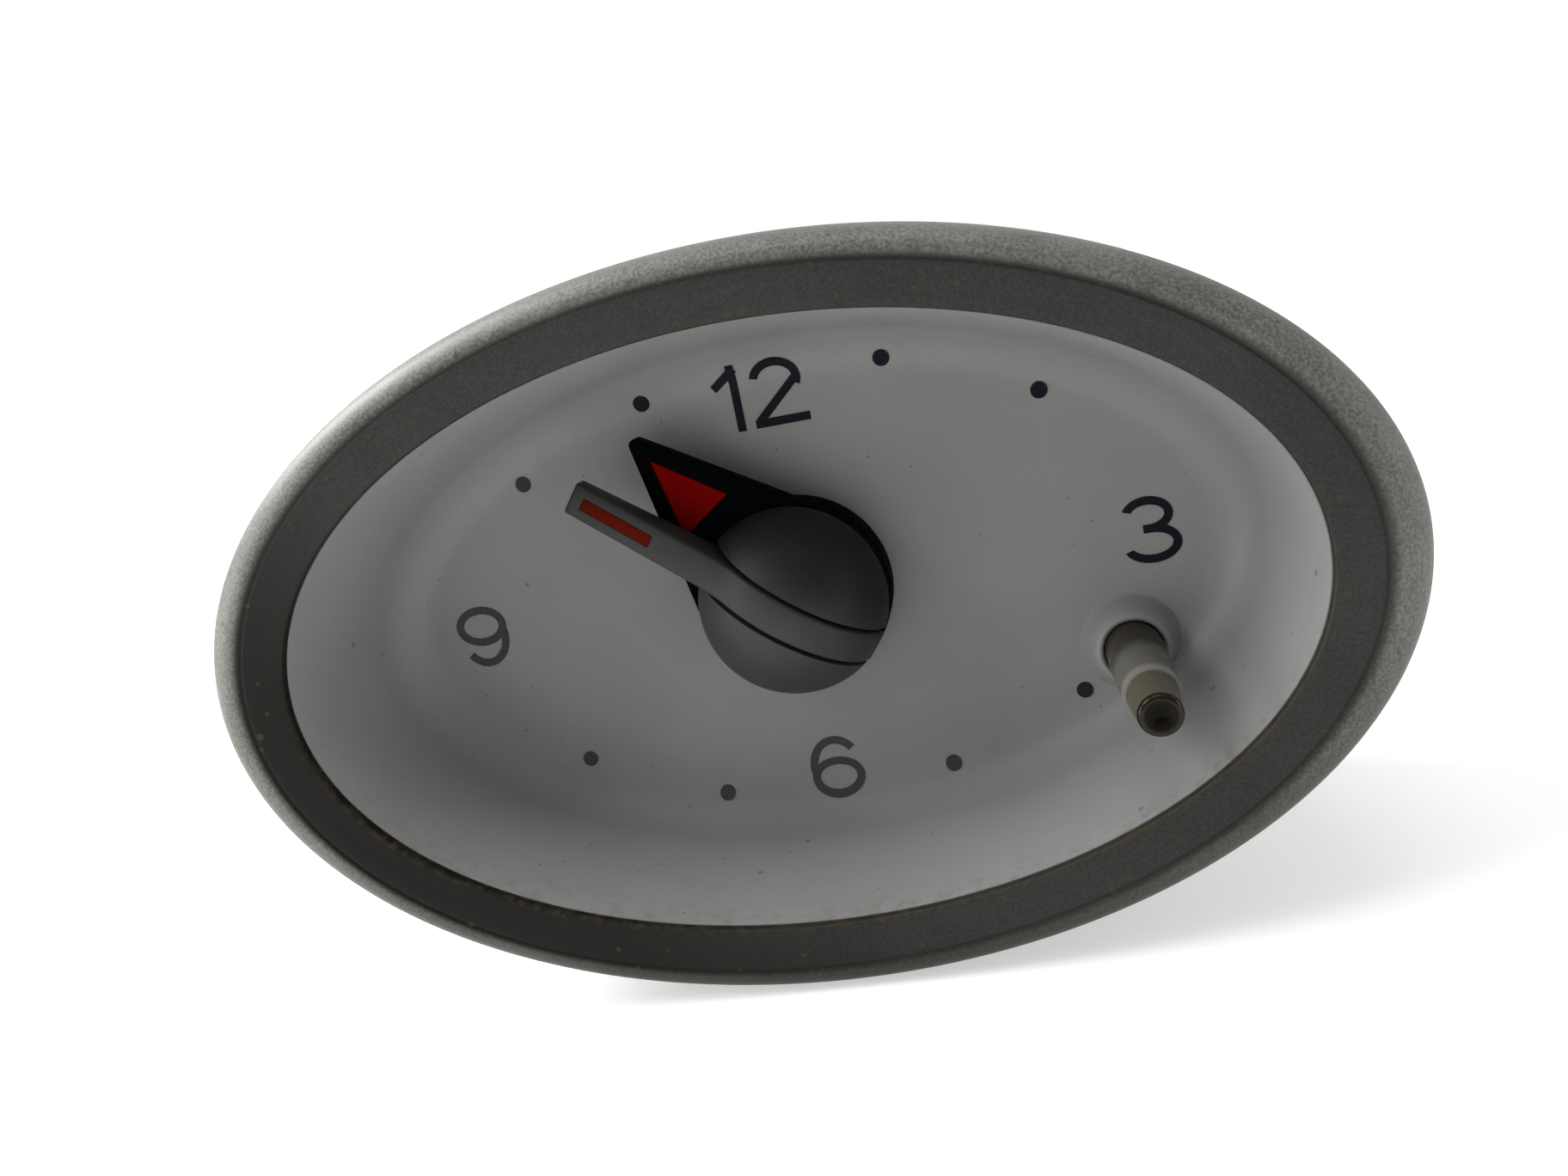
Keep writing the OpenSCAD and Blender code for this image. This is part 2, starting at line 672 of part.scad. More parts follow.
// The bar slopes down from the dome to its tip
module minute_bar() translate([0, minute_w / 2, minute_base]) rotate([90, 0, 0]) linear_extrude(minute_w)
    polygon([
        [boss_r / 2, 0], [minute_len, 0], [minute_len, minute_tip_t],
        [bar_root, minute_root_t], [boss_r / 2, minute_root_t]
    ]);
module minute_hand() color("silver") in_dash() hand_turn(minute_angle) difference() {
    union() {
        intersection() {
            difference() {
                dome_ball(0);
                dome_ball(strip_t);
            }
            dome_room(minute_w);
        }
        intersection() {
            rod(boss_r, minute_base, minute_base + dome_h);
            dome_ball(cap_t + nest_gap);
        }
        intersection() {
            rod(boss_r, minute_base, minute_base + dome_h);
            dome_room(minute_w);
            dome_ball(strip_t / 2);
        }
        minute_bar();
    }
    rod(arbor_r + press_gap, minute_base - eps, arbor_top + press_gap);
    stripe_shape(marker_gap, marker_t + eps);
}
module minute_hand_stripe() color("orangered") in_dash() hand_turn(minute_angle) stripe_shape(0, marker_t);
module hub_cap() color("darkgray") in_dash() hand_turn(minute_angle) {
    strip_room = minute_w + 2 * strip_gap;
    difference() {
        intersection() {
            dome_ball(0);
            translate([-hub_d, -hub_d, minute_base]) cube([2 * hub_d, 2 * hub_d, hub_d]);
        }
        dome_ball(cap_t);
        difference() {
            dome_room(strip_room);
            dome_ball(strip_t + end_play);
        }
        intersection() {
            rod(boss_r + nest_gap, minute_base, minute_base + dome_h);
            dome_room(strip_room);
        }
        translate([0, -strip_room / 2, minute_base - eps]) cube([hub_d, strip_room, minute_root_t + nest_gap]);
    }
}

// Motion work under the dial
module minute_arbor() color("goldenrod") in_dash() {
    rod(arbor_r, rear_plate_z + end_play, arbor_top);
    rod(arbor_pivot_r, rear_plate_z - pivot_depth, rear_plate_z + 2 * end_play);
    translate([0, 0, cannon_low]) gear(motion_m, cannon_z, 0, wheel_t + 2 * pinion_extra);
}
module hour_wheel() color("gold") in_dash() difference() {
    union() {
        translate([0, 0, hour_low]) gear(motion_m, hour_z, hour_phase);
        rod(pipe_r, hour_low, hour_top - 2 * end_play);
    }
    rod(arbor_r + run_gap, hour_low - eps, hour_top);
}
module minute_wheel() color("goldenrod") in_dash() at(minute_pos) difference() {
    union() {
        rod(hub_wall_r, plate_front_z + end_play, minute_low);
        translate([0, 0, minute_low]) gear(motion_m, minute_z, minute_phase);
        translate([0, 0, minute_low + wheel_t])
            gear(motion_m, minute_pinion_z, stem_dir + 180, wheel_t + 3 * pinion_extra);
    }
    rod(post_r + run_gap, plate_front_z, floor_back);
}
module setting_idler() color("ivory") in_dash() at(idler_pos) {
    rod(idler_r, setting_top - wheel_t, minute_low + wheel_t);
    rod(hub_wall_r, plate_front_z + end_play, minute_low);
    rod(hub_wall_r, setting_top, plate_back_z - end_play);
    translate([0, 0, minute_low]) gear(motion_m, idler_z, idler_phase);
    translate([0, 0, setting_top - wheel_t]) gear(motion_m, idler_z, idler_phase);
}
module setting_wheel() color("ivory") in_dash() at(stem_pos) difference() {
    union() {
        rod(pad_r, rear_plate_z + end_play, setting_face);
        translate([0, 0, setting_top - wheel_t]) gear(motion_m, setting_z, setting_phase);
    }
    rod(post_r + run_gap, rear_plate_z, setting_face + eps);
}

// Time train between the plates
module centre_wheel() color("gold") in_dash() difference() {
    union() {
        translate([0, 0, centre_top - wheel_t]) gear(train_m, centre_z, 0);
        rod(centre_hub_r, centre_top - wheel_t, plate_back_z - end_play);
    }
    rod(arbor_r + press_gap, centre_top - wheel_t - eps, plate_back_z);
}
module intermediate_wheel() color("khaki") in_dash() at(inter_pos) {
    rod(inter_r, rear_plate_z - pivot_depth, plate_back_z + pivot_depth);
    translate([0, 0, inter_top]) gear(train_m, train_pinion_z, inter_phase, inter_pinion_t);
    translate([0, 0, inter_top - wheel_t]) gear(train_m, inter_z, inter_phase);
}
module rotor_pinion() color("ivory") in_dash() at(rotor_pos) {
    rod(rotor_r, rear_plate_z - pivot_depth, plate_back_z + pivot_depth);
    translate([0, 0, rotor_pinion_low])
        gear(train_m, train_pinion_z, rotor_phase, wheel_t + 2 * pinion_extra);
}
module rotor_magnet() color("dimgray") in_dash() at(rotor_pos) difference() {
    rod(magnet_d / 2, magnet_top - magnet_t, magnet_top);
    rod(rotor_r + press_gap, magnet_top - magnet_t - eps, magnet_top + eps);
}

// Plates with bearings, posts, pillars and screw holes
module front_plate() color("gainsboro") in_dash() difference() {
    union() {
        movement_outline(plate_back_z, front_plate_t);
        for (p = pillars) at(p) rod(pillar_r, rear_plate_z, plate_back_z);
        at(minute_pos) rod(post_r, plate_front_z, hour_face + post_lead);
    }
    rod(arbor_r + run_gap, plate_back_z - eps, plate_front_z + eps);
    at(idler_pos) rod(idler_r + run_gap, plate_back_z - eps, plate_front_z + eps);
    at(stem_pos) rod(tail_r + run_gap, plate_back_z - eps, plate_front_z + eps);
    at(inter_pos) rod(inter_r + run_gap, plate_back_z - eps, plate_front_z + eps);
    at(rotor_pos) rod(rotor_r + run_gap, plate_back_z - eps, plate_front_z + eps);
    for (p = pillars) at(p) rod(screw_r + press_gap, rear_plate_z - eps, plate_back_z);
    for (p = dial_bosses) at(p) rod(screw_r + nest_gap, plate_back_z - eps, plate_front_z + eps);
}
module back_plate() color("gainsboro") in_dash() difference() {
    union() {
        movement_outline(rear_plate_low, back_plate_t);
        for (p = pillars) at(p) rod(pillar_r + pillar_step, board_z, rear_plate_low);
        for (p = stator_bosses) at(p) rod(stator_boss_r, rear_plate_z, stator_low);
        at(stem_pos) rod(post_r, rear_plate_z, setting_face - post_lead);
    }
    rod(arbor_pivot_r + run_gap, rear_plate_low - eps, rear_plate_z + eps);
    at(inter_pos) rod(inter_r + run_gap, rear_plate_low - eps, rear_plate_z + eps);
    at(rotor_pos) rod(rotor_r + run_gap, rear_plate_low - eps, rear_plate_z + eps);
    for (p = pillars) at(p) rod(screw_r + nest_gap, board_z - eps, rear_plate_z + eps);
    at([rotor_pos.x, core_y] - coil_window / 2, rear_plate_low - eps)
        cube([coil_window.x, coil_window.y, back_plate_t + 2 * eps]);
}
module movement_screws() color("silver") in_dash()
    for (p = dial_bosses) at(p)
        screw(screw_r, screw_head_r, plate_back_z, front_plate_t + dial_screw_grip);
module board_screws() color("silver") in_dash()
    for (p = pillars) at(p)
        screw(screw_r, screw_head_r, board_low, rear_plate_z - board_low + board_screw_grip);

// Stepping motor
module stator() color("slategray") in_dash() at(rotor_pos, stator_low) difference() {
    translate([-stator_w / 2, -stator_h / 2, 0]) cube([stator_w, stator_h, stator_t]);
    translate([0, 0, -eps]) cylinder(r = magnet_d / 2 + air_gap, h = stator_t + 2 * eps);
}
module coil_core() color("slategray") in_dash()
    at(rotor_pos - [stator_w / 2, coil_offset + core_h / 2], stator_low) {
    cube([stator_w, core_h, stator_t]);
    for (x = [0, stator_w - core_leg])
        translate([x, 0, 0]) cube([core_leg, coil_offset + core_h / 2 - stator_h / 2, stator_t]);
}
module along_coil() translate([rotor_pos.x, core_y, coil_z]) rotate([0, 90, 0]) children();
module coil_bobbin() color("ivory") in_dash() difference() {
    along_coil() {
        rod(bobbin_r, -bobbin_len / 2, bobbin_len / 2);
        for (s = [-1, 1]) translate([0, 0, s * (bobbin_len - bobbin_wall) / 2])
            cylinder(d = coil_d + nest_gap, h = bobbin_wall, center = true);
    }
    translate([rotor_pos.x - stator_w, core_y - core_h / 2 - press_gap, stator_low - press_gap])
        cube([2 * stator_w, core_h + 2 * press_gap, stator_t + 2 * press_gap]);
}
module coil_winding() color("chocolate") in_dash() along_coil() difference() {
    rod(coil_d / 2, -bobbin_len / 2 + bobbin_wall + press_gap, bobbin_len / 2 - bobbin_wall - press_gap);
    rod(bobbin_r + press_gap, -bobbin_len, bobbin_len);
}

// Circuit board and the parts on its rear face
module circuit_board() color("darkgreen") in_dash() difference() {
    movement_outline(board_low, board_t);
    for (p = pillars) at(p) rod(screw_r + nest_gap, board_low - eps, board_z + eps);
    pin_holes(board_low - eps, board_z + eps);
}
module pin_holes(low, top) for (x = pin_x) at(conn_pos + [x, 0], low)
    translate([-pin_w / 2 - press_gap, -pin_t / 2 - press_gap, 0])
        cube([pin_w + 2 * press_gap, pin_t + 2 * press_gap, top - low]);
// Small can lying on the board, its two leads bent into it
module lying_can(p, turn, d, len) at(p, board_low - d / 2) rotate(turn) {
    rotate([0, 90, 0]) cylinder(d = d, h = len, center = true);
    for (s = [-1, 1]) translate([len / 2 - lead_w / 2, s * d / 4 - lead_w / 2, 0]) {
        cube([lead_len, lead_w, lead_w]);
        translate([lead_len - lead_w, 0, 0]) cube([lead_w, lead_w, d / 2]);
    }
}
module quartz_crystal() color("silver") in_dash()
    lying_can(crystal_pos, 0, crystal_size.x, crystal_size.y);
module smoothing_capacitor() color("royalblue") in_dash()
    lying_can(capacitor_pos, 90, capacitor_size.x, capacitor_size.y);
module supply_diode() color("dimgray") in_dash()
    lying_can(diode_pos, 180, diode_size.x, diode_size.y);
module driver_chip() color("black") in_dash() at(chip_pos, board_low) {
    translate([-chip.x / 2, -chip.y / 2, -chip.z - chip_lift]) cube(chip);
    for (x = [-1.5 : 1.5], s = [0, 180]) rotate(s)
        translate([x * leg_pitch - leg_w / 2, chip.y / 2 - leg_t, -leg_drop]) {
            cube([leg_w, leg_reach, leg_t]);
            translate([0, leg_reach - leg_t, 0]) cube([leg_w, leg_t, leg_drop]);
        }
}

// Setting stem: a tapered rod with a shoulder, a retaining flange and a tail
module setting_stem() color("darkkhaki") in_dash() at(stem_pos) rotate_extrude() {
    dimple_r = stem_tip_d / 4;
    tip_r = stem_tip_d / 2;
    ring_r = stem_d / 2 - ring_inset;
    polygon([
        [0, stem_tip_z - dimple_depth], [dimple_r, stem_tip_z - dimple_depth],
        [dimple_r + tip_round / 2, stem_tip_z], [tip_r - tip_round, stem_tip_z],
        [tip_r - tip_round / 4, stem_tip_z - tip_round / 3], [tip_r, stem_tip_z - tip_round],
        [ring_r - ring_inset, shoulder_z + ring_h], [ring_r, shoulder_z + ring_h / 2], [ring_r, shoulder_z],
        [stem_d / 2, collar_h + ring_h], [stem_d / 2, stem_flange_top],
        [stem_flange_r, stem_flange_top], [stem_flange_r, washer_top],
        [tail_r, washer_top], [tail_r, pad_top], [0, pad_top]
    ]);
}
module stem_washer() color("lightsteelblue") in_dash() at(stem_pos) difference() {
    rod(stem_flange_r, spring_top, washer_top);
    rod(tail_r + run_gap, spring_top - eps, washer_top + eps);
}
module friction_pad() color("saddlebrown") in_dash() at(stem_pos) rod(pad_r, pad_top - pad_t, pad_top);

// Return spring: one wire swept along a helix between front plate and washer
spring_rings = 12;
spring_sides = 6;
spring_low = plate_front_z + spring_wire / 2;
spring_rise = spring_top - spring_wire / 2 - spring_low;
spring_steps = spring_turns * spring_rings;
spring_points = [for (i = [0 : spring_steps], k = [0 : spring_sides - 1])
    let (a = 360 * i / spring_rings, b = 360 * k / spring_sides, r = spring_r + spring_wire / 2 * cos(b))
    [r * cos(a), r * sin(a), spring_low + spring_rise * i / spring_steps + spring_wire / 2 * sin(b)]];
spring_faces = concat(
    [[for (k = [0 : spring_sides - 1]) k]],
    [for (i = [0 : spring_steps - 1], k = [0 : spring_sides - 1], s = [0, 1])
        let (n = (k + 1) % spring_sides, p = i * spring_sides, q = p + spring_sides)
        s == 0 ? [p + k, q + k, q + n] : [p + k, q + n, p + n]],
    [[for (k = [spring_sides - 1 : -1 : 0]) spring_steps * spring_sides + k]]
);
module stem_spring() color("silver") in_dash() at(stem_pos)
    polyhedron(spring_points, spring_faces, convexity = 8);

// Case shell with screw columns, clip pads and pockets for the bezel's lugs
function column_pos(a) = oval_at(case_in - column_d / 2 + column_bite, a);
module case_shell() color("white") in_dash() difference() {
    union() {
        difference() {
            union() {
                oval_slab(case_out, cover_z, flange_low);
                for (s = [0, 180]) rotate(s)
                    translate([pad_face - clip_pad.x, -clip_pad.y / 2, clip_pad_low]) cube(clip_pad);
            }
            oval_slab(case_in, cover_z - eps, flange_low + eps);
        }
        intersection() {
            for (a = column_angles) at(column_pos(a)) rod(column_d / 2, cover_z, column_top);
            oval_slab(case_out, cover_z, 0);
        }
        for (s = [0, 180]) rotate(s) clip_peg(peg_r);
    }
    for (a = column_angles) at(column_pos(a))
        rod(cover_screw_r + press_gap, cover_z - eps, cover_z + column_bore);
    for (a = lug_angles) rim_point(a, skirt_in)
        translate([-2 * nest_gap - lug_reach, -lug_len / 2 - nest_gap, seat_z - nest_gap])
            cube([bezel_rim, lug_len + 2 * nest_gap, lug_h + 2 * nest_gap]);
}
module clip_peg(r) translate([pad_face - clip_pad.x / 2, 0, clip_pad_low + clip_foot / 2])
    rotate([0, 90, 0]) cylinder(r = r, h = clip_pad.x / 2 + clip_t);

// Leaf clips: foot on the pad, ramp out, and a short catch that bears behind the panel
module dash_clips() color("lightslategray") in_dash() for (s = [0, 180]) rotate(s) difference() {
    translate([pad_face, clip_w / 2, clip_pad_low]) rotate([90, 0, 0]) linear_extrude(clip_w) polygon([
        [0, 0], [0, clip_foot], [clip_bow, clip_bend],
        [clip_bow - clip_catch.x, clip_bend + clip_catch.y],
        [clip_bow - clip_catch.x + clip_lip, clip_bend + clip_catch.y + clip_lip],
        [clip_bow + clip_t, clip_bend], [clip_t, clip_foot - clip_edge], [clip_t, 0]
    ]);
    clip_peg(peg_r + press_gap);
}

// Rear cover with the connector shroud and the bayonet hole for the lamp
module rear_cover() color("dimgray") in_dash() difference() {
    union() {
        oval_slab(case_out, cover_low, cover_z);
        at(conn_pos, cover_low - shroud_depth)
            round_plate(shroud_w + 2 * shroud_wall, shroud_h + 2 * shroud_wall, shroud_r, shroud_depth);
    }
    at(conn_pos, cover_low - shroud_depth - eps)
        translate([-shroud_w / 2, -shroud_h / 2, 0]) cube([shroud_w, shroud_h, shroud_depth]);
    pin_holes(cover_low - press_gap, cover_z + eps);
    at(lamp_pos) rod(lamp_r + lamp_gap, cover_low - eps, cover_z + eps);
    at(lamp_pos, cover_low - eps) rotate(90) lamp_lugs(lamp_gap, cover_t + 2 * eps);
    for (a = column_angles) at(column_pos(a)) rod(cover_screw_r + nest_gap, cover_low - eps, cover_z + eps);
}
module lamp_lugs(gap, h) for (s = [0, 180]) rotate(s)
    translate([0, -lamp_lug.y / 2 - gap, 0]) cube([lamp_r + lamp_lug.x + gap, lamp_lug.y + 2 * gap, h]);
module cover_screws() color("silver") in_dash()
    for (a = column_angles) at(column_pos(a))
        screw(cover_screw_r, cover_head_r, cover_low, cover_t + cover_screw_len);
module connector_pins() color("goldenrod") in_dash()
    for (x = pin_x) at(conn_pos + [x, 0], pin_end)
        translate([-pin_w / 2, -pin_t / 2, 0]) cube([pin_w, pin_t, board_z + pin_solder - pin_end]);

// Lamp: a twist-in holder with a finger bar, and a wedge bulb
module lamp_holder() color("seagreen") in_dash() at(lamp_pos) difference() {
    union() {
        rod(lamp_cap_r, cover_low - lamp_cap_t, cover_low);
        translate([-lamp_grip.x / 2, -lamp_grip.y / 2, cover_low - lamp_cap_t - lamp_grip.z])
            cube(lamp_grip);
        rod(lamp_r, cover_low, cover_z + end_play + lamp_lug.z);
        translate([0, 0, cover_z + end_play]) lamp_lugs(0, lamp_lug.z);
        rod(lamp_r - lamp_step, cover_z, lamp_top);
    }
    translate([-bulb_base.x / 2 - press_gap, -bulb_base.y / 2 - press_gap, lamp_top - bulb_base.z])
        cube([bulb_base.x + 2 * press_gap, bulb_base.y + 2 * press_gap, bulb_base.z + eps]);
}
module lamp_bulb() color("lightyellow") in_dash() at(lamp_pos) {
    translate([-bulb_base.x / 2, -bulb_base.y / 2, lamp_top - bulb_base.z]) cube(bulb_base);
    rod(bulb_d / 2, lamp_top, lamp_top + bulb_len - bulb_d / 2);
    translate([0, 0, lamp_top + bulb_len - bulb_d / 2]) sphere(d = bulb_d);
}

bezel();
dial_bowl();
dial_print();
hour_hand();
hour_hand_triangle();
minute_hand();
minute_hand_stripe();
hub_cap();
minute_arbor();
centre_wheel();
hour_wheel();
minute_wheel();
setting_idler();
setting_wheel();
intermediate_wheel();
rotor_pinion();
rotor_magnet();
front_plate();
back_plate();
movement_screws();
board_screws();
stator();
coil_core();
coil_bobbin();
coil_winding();
circuit_board();
quartz_crystal();
driver_chip();
smoothing_capacitor();
supply_diode();
setting_stem();
stem_washer();
stem_spring();
friction_pad();
case_shell();
rear_cover();
cover_screws();
dash_clips();
connector_pins();
lamp_holder();
lamp_bulb();
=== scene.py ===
import json
import math
import bpy
from mathutils import Matrix, Vector


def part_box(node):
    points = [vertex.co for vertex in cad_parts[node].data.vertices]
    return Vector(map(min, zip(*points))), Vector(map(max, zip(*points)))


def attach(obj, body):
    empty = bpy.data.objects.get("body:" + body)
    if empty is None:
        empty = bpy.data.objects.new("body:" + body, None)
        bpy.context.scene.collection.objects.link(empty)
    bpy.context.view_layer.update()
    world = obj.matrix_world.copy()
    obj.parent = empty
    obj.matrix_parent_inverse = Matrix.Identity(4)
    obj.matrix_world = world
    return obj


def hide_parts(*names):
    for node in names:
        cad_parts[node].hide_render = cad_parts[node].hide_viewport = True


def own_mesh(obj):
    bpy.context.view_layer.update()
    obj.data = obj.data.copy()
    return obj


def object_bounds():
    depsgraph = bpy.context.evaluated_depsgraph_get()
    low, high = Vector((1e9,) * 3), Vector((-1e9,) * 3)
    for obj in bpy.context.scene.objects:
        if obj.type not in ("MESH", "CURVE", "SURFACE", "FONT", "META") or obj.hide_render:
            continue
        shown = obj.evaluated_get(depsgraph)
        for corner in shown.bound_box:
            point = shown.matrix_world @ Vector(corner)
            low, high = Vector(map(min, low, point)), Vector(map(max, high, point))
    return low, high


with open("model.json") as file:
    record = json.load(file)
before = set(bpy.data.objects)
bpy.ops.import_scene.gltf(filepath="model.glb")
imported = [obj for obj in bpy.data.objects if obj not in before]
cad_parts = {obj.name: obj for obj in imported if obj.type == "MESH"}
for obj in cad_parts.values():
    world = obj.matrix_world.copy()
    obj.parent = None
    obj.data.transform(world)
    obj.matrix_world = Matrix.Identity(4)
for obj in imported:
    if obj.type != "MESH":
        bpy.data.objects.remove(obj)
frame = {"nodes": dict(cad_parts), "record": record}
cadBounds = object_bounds()
scene = bpy.context.scene
scene.view_settings.view_transform = "Standard"
metre = 0.001


# Pieces are modelled in millimetres on the dial: x to 3 o'clock, y to 12, z out of the dial
def nodeBox(node):
    low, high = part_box(node)
    return low / metre, high / metre


dialLevel = nodeBox("dial_print")[1].y
intoDash = (Matrix.Translation((0, dialLevel * metre, 0)) @ Matrix.Rotation(math.pi / 2, 4, "X")
            @ Matrix.Scale(metre, 4))


def levels(node):
    low, high = nodeBox(node)
    return dialLevel - high.y, dialLevel - low.y


def middle(node):
    low, high = nodeBox(node)
    return (low.x + high.x) / 2, (low.z + high.z) / 2


# Modelling helpers
def pickOnly(piece):
    bpy.ops.object.select_all(action="DESELECT")
    piece.select_set(True)
    bpy.context.view_layer.objects.active = piece


def start(name, maker, **sizes):
    bpy.ops.object.select_all(action="DESELECT")
    maker(**sizes)
    piece = bpy.context.object
    piece.name = piece.data.name = name
    bpy.ops.object.transform_apply()
    return piece


def openEdit(piece, mode="VERT"):
    pickOnly(piece)
    bpy.ops.object.mode_set(mode="EDIT")
    bpy.ops.mesh.select_mode(type=mode)
    bpy.ops.mesh.select_all(action="SELECT")


def closeEdit():
    bpy.ops.mesh.select_all(action="SELECT")
    bpy.ops.mesh.normals_make_consistent(inside=False)
    bpy.ops.object.mode_set(mode="OBJECT")


def pickFaces(piece, wanted):
    openEdit(piece, "FACE")
    bpy.ops.mesh.select_all(action="DESELECT")
    bpy.ops.object.mode_set(mode="OBJECT")
    for face in piece.data.polygons:
        face.select = wanted(face.center, face.normal)
    bpy.ops.object.mode_set(mode="EDIT")


def pickEdges(piece, wanted):
    openEdit(piece, "EDGE")
    bpy.ops.mesh.select_all(action="DESELECT")
    bpy.ops.object.mode_set(mode="OBJECT")
    for edge in piece.data.edges:
        edge.select = wanted(*[piece.data.vertices[index].co for index in edge.vertices])
    bpy.ops.object.mode_set(mode="EDIT")


# Open borders of the mesh that is being edited
def pickBorders():
    bpy.ops.mesh.select_all(action="DESELECT")
    bpy.ops.mesh.select_non_manifold(use_wire=False, use_multi_face=False, use_non_contiguous=False,
                                     use_verts=False)


def shapeWith(piece, kind, **settings):
    pickOnly(piece)
    modifier = piece.modifiers.new(kind.lower(), kind)
    for key, value in settings.items():
        setattr(modifier, key, value)
    bpy.ops.object.modifier_apply(modifier=modifier.name)


def soften(piece, width, angle=40, segments=3):
    shapeWith(piece, "BEVEL", width=width, segments=segments, limit_method="ANGLE",
              angle_limit=math.radians(angle))


# A boolean, after which the slivers that it leaves are merged away
def combine(piece, tool, operation, sliver=0.002):
    shapeWith(piece, "BOOLEAN", object=tool, operation=operation, solver="EXACT")
    bpy.data.objects.remove(tool)
    openEdit(piece)
    bpy.ops.mesh.remove_doubles(threshold=sliver)
    bpy.ops.mesh.dissolve_degenerate(threshold=sliver)
    closeEdit()


def move(piece, degrees=0, axis="Z", place=(0, 0, 0)):
    pickOnly(piece)
    piece.matrix_world = Matrix.Translation(place) @ Matrix.Rotation(math.radians(degrees), 4, axis)
    bpy.ops.object.transform_apply()
    return piece


def copyOf(piece):
    pickOnly(piece)
    bpy.ops.object.duplicate()
    return bpy.context.object


def joinAll(pieces):
    pickOnly(pieces[0])
    for piece in pieces:
        piece.select_set(True)
    bpy.ops.object.join()
    return pieces[0]


# Rings of an oval, each a half width, a half height and a level, joined in order
def ovalLoft(name, rings, closed=False, around=256):
    piece = start(name, bpy.ops.mesh.primitive_circle_add, vertices=around, radius=1, fill_type="NOTHING")
    openEdit(piece, "EDGE")
    last = (1, 1, 0)
    for step, ring in enumerate(rings):
        if step:
            bpy.ops.mesh.extrude_edges_move()
        bpy.ops.transform.resize(value=(ring[0] / last[0], ring[1] / last[1], 1), center_override=(0, 0, 0))
        bpy.ops.transform.translate(value=(0, 0, ring[2] - last[2]))
        last = ring
    pickBorders()
    if closed:
        bpy.ops.mesh.bridge_edge_loops()
    else:
        bpy.ops.mesh.fill_holes(sides=0)
    closeEdit()
    return piece


def lathe(name, section, closed=False, around=96):
    return ovalLoft(name, [(radius, radius, level) for radius, level in section], closed, around)


# A flat outline, filled and then raised
def slab(name, outline, low, top):
    piece = start(name, bpy.ops.mesh.primitive_circle_add, vertices=len(outline), fill_type="NGON")
    for vertex, point in zip(piece.data.vertices, outline):
        vertex.co = (point[0], point[1], low)
    openEdit(piece)
    bpy.ops.mesh.extrude_region_move(TRANSFORM_OT_translate={"value": (0, 0, top - low)})
    closeEdit()
    return piece


# A cylinder that cuts a hole through what it meets
def drill(radius, depth=12, around=96):
    return start("drill", bpy.ops.mesh.primitive_cylinder_add, vertices=around, radius=radius, depth=depth)


def block(name, low, high):
    piece = start(name, bpy.ops.mesh.primitive_cube_add, size=1)
    openEdit(piece)
    size = [b - a for a, b in zip(low, high)]
    bpy.ops.transform.resize(value=size)
    bpy.ops.transform.translate(value=[(a + b) / 2 for a, b in zip(low, high)])
    closeEdit()
    return piece


def arc(centre, radius, first, last, steps):
    angles = [math.radians(first + (last - first) * i / steps) for i in range(steps + 1)]
    return [(centre[0] + radius * math.cos(a), centre[1] + radius * math.sin(a)) for a in angles]


def settle(piece, body, nodes, paint, smooth=35):
    pickOnly(piece)
    piece.matrix_world = intoDash
    bpy.ops.object.transform_apply()
    bpy.ops.object.shade_smooth_by_angle(angle=math.radians(smooth))
    piece.data.materials.clear()
    piece.data.materials.append(paint)
    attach(piece, body)
    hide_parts(*nodes)


# Shader helpers: a wire is a socket that takes part in sums
class Wire:
    def __init__(self, paint, socket):
        self.paint = paint
        self.socket = socket

    def sum(self, operation, first, second):
        return self.paint.node("ShaderNodeMath", {"operation": operation}, {0: first, 1: second})

    def __add__(self, other):
        return self.sum("ADD", self, other)

    def __radd__(self, other):
        return self.sum("ADD", other, self)

    def __sub__(self, other):
        return self.sum("SUBTRACT", self, other)

    def __rsub__(self, other):
        return self.sum("SUBTRACT", other, self)

    def __mul__(self, other):
        return self.sum("MULTIPLY", self, other)

    def __rmul__(self, other):
        return self.sum("MULTIPLY", other, self)

    def __truediv__(self, other):
        return self.sum("DIVIDE", self, other)

    def __pow__(self, other):
        return self.sum("POWER", self, other)

    def atLeast(self, low):
        return self.sum("MAXIMUM", self, low)

    def between(self, low, high, first=0.0, last=1.0):
        return self.paint.node("ShaderNodeMapRange", {"interpolation_type": "SMOOTHSTEP"},
                               {0: self, 1: low, 2: high, 3: first, 4: last})

    def output(self, name):
        return Wire(self.paint, self.socket.node.outputs[name])


